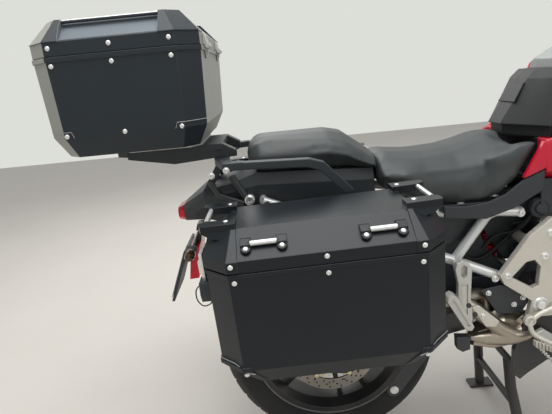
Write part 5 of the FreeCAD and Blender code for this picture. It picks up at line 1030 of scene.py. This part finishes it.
class MOTORCYCLE_OT_front(Step):
    """Guards, grips, mirrors, lamps, hoses, bolts, radiator and instrument, and the pipes' clamps and end."""

    bl_idname = "motorcycle.front"
    bl_label = "Front details"

    def make(self, settings):
        thick = on_fork(-3.2, 0, 0) - on_fork(0, 0, 0)
        fork_way = on_fork(0, 0, 1) - on_fork(0, 0, 0)
        for tag, side, out in SIDES:
            rows = []
            for share, forward, outward, up, down in HAND_GUARD:
                face = [beside_bar(side, share, forward + ahead, outward, rise)
                        for ahead, rise in ((-12, up), (4, 0), (-8, -down))]
                rows.append(face + [point + thick for point in reversed(face)])
            piece("hand_guard_" + tag, "black_plastic", body="steering").skin(rows)
            ribs = piece("grip_ribs_" + tag, "black_plastic", "rubber_hose", "steering")
            for step in range(14):
                start, end = (beside_bar(side, 0.42 + step * 0.04 + more) for more in (0, 0.018))
                wide = (end - start).length * 1000
                ribs.turned(start, end - start, [(16.8, 0), (18.2, 0.6), (18.2, wide - 0.6), (16.8, wide)])
            middle = beside_bar(side, 0.66, 24, 0, 190)
            glass = piece("mirror_glass_" + tag, "fork_chrome", body="steering")
            glass.slab([middle + Vector((-7.8, y, z)) / 1000 for y, z in MIRROR], (-1.2, 0, 0), 0.6)
            lamp = piece("front_indicator_" + tag, "lamp_glass", "smoked_lens")
            lamp.turned(place(1446, side * 187, 968), (0.1, side, 0.1),
                        [(11, -4), (14, 4), (17, 12), (17, 34), (13, 44), (4, 47)], 20)
            hose = rounded(spots(((-96, 80, 128), (-72, 84, 190), (-46, 78, 300), (-40, 74, 420),
                                  (-36, 52, 560)), side, on_fork), 50, 6)
            piece("brake_hose_" + tag, "black_plastic", "rubber_hose", "steering").bar(hose, 3.5)
            seal = piece("fork_seal_" + tag, "fork_black", body="steering")
            for low in (342, 348):
                seal.turned(on_fork(0, side * 105, low), fork_way,
                            [(29.2, 0), (31, 1), (31, 4), (29.2, 5)], 32)
            bolts = piece("fairing_bolts_" + tag, "black_plastic", "fork_black")
            bolts.bolts(spots(((760, 243, 920), (860, 253, 880), (990, 251.5, 868), (1140, 241.5, 868),
                               (1280, 221, 930)), side), out, 4.8, 3.5)
        fins = piece("radiator_fins", "engine_casting", "silver_casting")
        low, high = (1237, 459), (1193, 707)
        for step in range(26):
            x, z = (a + (b - a) * (step + 0.5) / 26 for a, b in zip(low, high))
            fins.bar(spots(((x, -156, z), (x, 156, z))), 1.6, 6)
        face = piece("instrument_glass", "black_plastic", "display_glass")
        face.slab(spots(((1363.6, -72, 1086), (1363.6, 72, 1086), (1388.3, 72, 1152.5),
                         (1388.3, -72, 1152.5))), (-1.5, 0, 0.56))
        lamps = piece("headlamp_lenses", "lamp_glass")
        nuts = piece("front_axle_ends", "fork_chrome", body="steering")
        for tag, side, out in SIDES:
            for y, z in ((50, 918), (74, 926)):
                lamps.turned(place(1545, side * y, z), (1, 0, 0),
                             [(10.5, 0), (10.5, 3), (8.5, 4), (6, 2), (0.5, 2)], 20)
            nuts.turned(place(1562, side * 131, 325), out,
                        [(16, -2), (16, 3), (13, 6), (9.8, 6), (9.8, 1)], 28)
        outlet = piece("silencer_outlet", "exhaust_steel")
        outlet.turned(place(-261, -156, 640), (-1, 0, 0.08),
                      [(30, -2), (30, 6), (26, 10), (22, 10), (21, -1), (2, -1)], 32)
        clamps = piece("exhaust_clamps", "exhaust_steel")
        clamps.turned(place(420, -116, 432), UP, [(17.5, -2), (21.5, 0), (21.5, 12), (17.5, 14)], 28)
        clamps.turned(place(262, -154, 497), (-1, 0, 0), [(17.5, -12), (21.5, -10), (21.5, 0), (17.5, 0)], 28)


class MOTORCYCLE_OT_stage(Step):
    """Floor, light and camera."""

    bl_idname = "motorcycle.stage"
    bl_label = "Studio"

    def make(self, settings):
        scene = bpy.context.scene
        scene.view_settings.view_transform = "Standard"
        floor = bpy.data.meshes.new("floor")
        wide = 7.0
        floor.from_pydata([(-wide, -wide, 0), (wide, -wide, 0), (wide, wide, 0), (-wide, wide, 0)], [],
                          [(0, 1, 2, 3)])
        paint = Paint("studio_floor")
        tone = paint.mixed(paint.noise(2.0), (0.61, 0.58, 0.53, 1.0), (0.67, 0.64, 0.59, 1.0))
        floor.materials.append(paint.surface({"Base Color": tone, "Roughness": 0.8}))
        ground = bpy.data.objects.new("floor", floor)
        scene.collection.objects.link(ground)
        sky = Paint("studio", "worlds")
        camera_ray, glossy_ray, clear_ray = (sky.node("ShaderNodeLightPath", output=f"Is {kind} Ray")
                                             for kind in ("Camera", "Glossy", "Transmission"))
        light = sky.node("ShaderNodeBackground", None, {"Color": (0.93, 0.94, 0.95, 1.0), "Strength": 0.55})
        wall = sky.node("ShaderNodeBackground", None, {"Color": (0.72, 0.73, 0.69, 1.0)})
        both = sky.node("ShaderNodeMixShader", None,
                        {0: camera_ray + glossy_ray + clear_ray, 1: light, 2: wall})
        sky.node("ShaderNodeOutputWorld", None, {"Surface": both})
        scene.world = sky.owner
        for name, where, size, share in (("key", (-0.6, -0.6, 3.6), 2.6, 2.6),
                                         ("fill", (2.2, -2.8, 1.8), 2.0, 0.45),
                                         ("back", (-1.2, 2.6, 3.0), 2.6, 1.2)):
            light = bpy.data.lights.new(name, "AREA")
            light.size = size
            light.energy = settings.key_light * share
            lamp = bpy.data.objects.new(name, light)
            lamp.location = where
            lamp.rotation_mode = "QUATERNION"
            lamp.rotation_quaternion = (Vector((0, 0, 0.6)) - Vector(where)).to_track_quat("-Z", "Y")
            scene.collection.objects.link(lamp)
        yaw, pitch, roll = (math.radians(angle) for angle in (-0.4438, 15.378, -5.588))
        ahead = Vector((math.sin(yaw) * math.cos(pitch), math.cos(yaw) * math.cos(pitch), -math.sin(pitch)))
        level = Vector((math.cos(yaw), -math.sin(yaw), 0))
        top = level.cross(ahead)
        right = level * math.cos(roll) + top * math.sin(roll)
        up = top * math.cos(roll) - level * math.sin(roll)
        lens = bpy.data.cameras.new("camera")
        lens.sensor_width = 36.0
        lens.lens = 31.18
        lens.clip_start = 0.02
        camera = bpy.data.objects.new("camera", lens)
        turn = Matrix((right, up, -ahead)).transposed().to_4x4()
        camera.matrix_world = Matrix.Translation((-0.7393, -1.30558, 1.11618)) @ turn
        scene.collection.objects.link(camera)
        scene.camera = camera


class MOTORCYCLE_PT_finish(bpy.types.Panel):
    """The finish's settings and steps."""

    bl_label = "Motorcycle"
    bl_idname = "MOTORCYCLE_PT_finish"
    bl_space_type = "VIEW_3D"
    bl_region_type = "UI"
    bl_category = "Motorcycle"

    def draw(self, context):
        for name in MotorcycleSettings.__annotations__:
            self.layout.prop(context.scene.motorcycle, name)
        for step in STEPS:
            self.layout.operator(step.bl_idname)


STEPS = (MOTORCYCLE_OT_surfaces, MOTORCYCLE_OT_tyres, MOTORCYCLE_OT_wheels, MOTORCYCLE_OT_seats,
         MOTORCYCLE_OT_cases, MOTORCYCLE_OT_frame, MOTORCYCLE_OT_controls, MOTORCYCLE_OT_tail,
         MOTORCYCLE_OT_tank, MOTORCYCLE_OT_engine, MOTORCYCLE_OT_chain,
         MOTORCYCLE_OT_front, MOTORCYCLE_OT_stage)
CLASSES = (MotorcycleSettings, *STEPS, MOTORCYCLE_PT_finish)


def register():
    for kind in CLASSES:
        bpy.utils.register_class(kind)
    bpy.types.Scene.motorcycle = bpy.props.PointerProperty(type=MotorcycleSettings)


def unregister():
    del bpy.types.Scene.motorcycle
    for kind in reversed(CLASSES):
        bpy.utils.unregister_class(kind)


def main():
    register()
    model.update(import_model())
    for step in STEPS:
        getattr(bpy.ops.motorcycle, step.bl_idname.split(".")[1])()


if __name__ == "__main__":
    main()
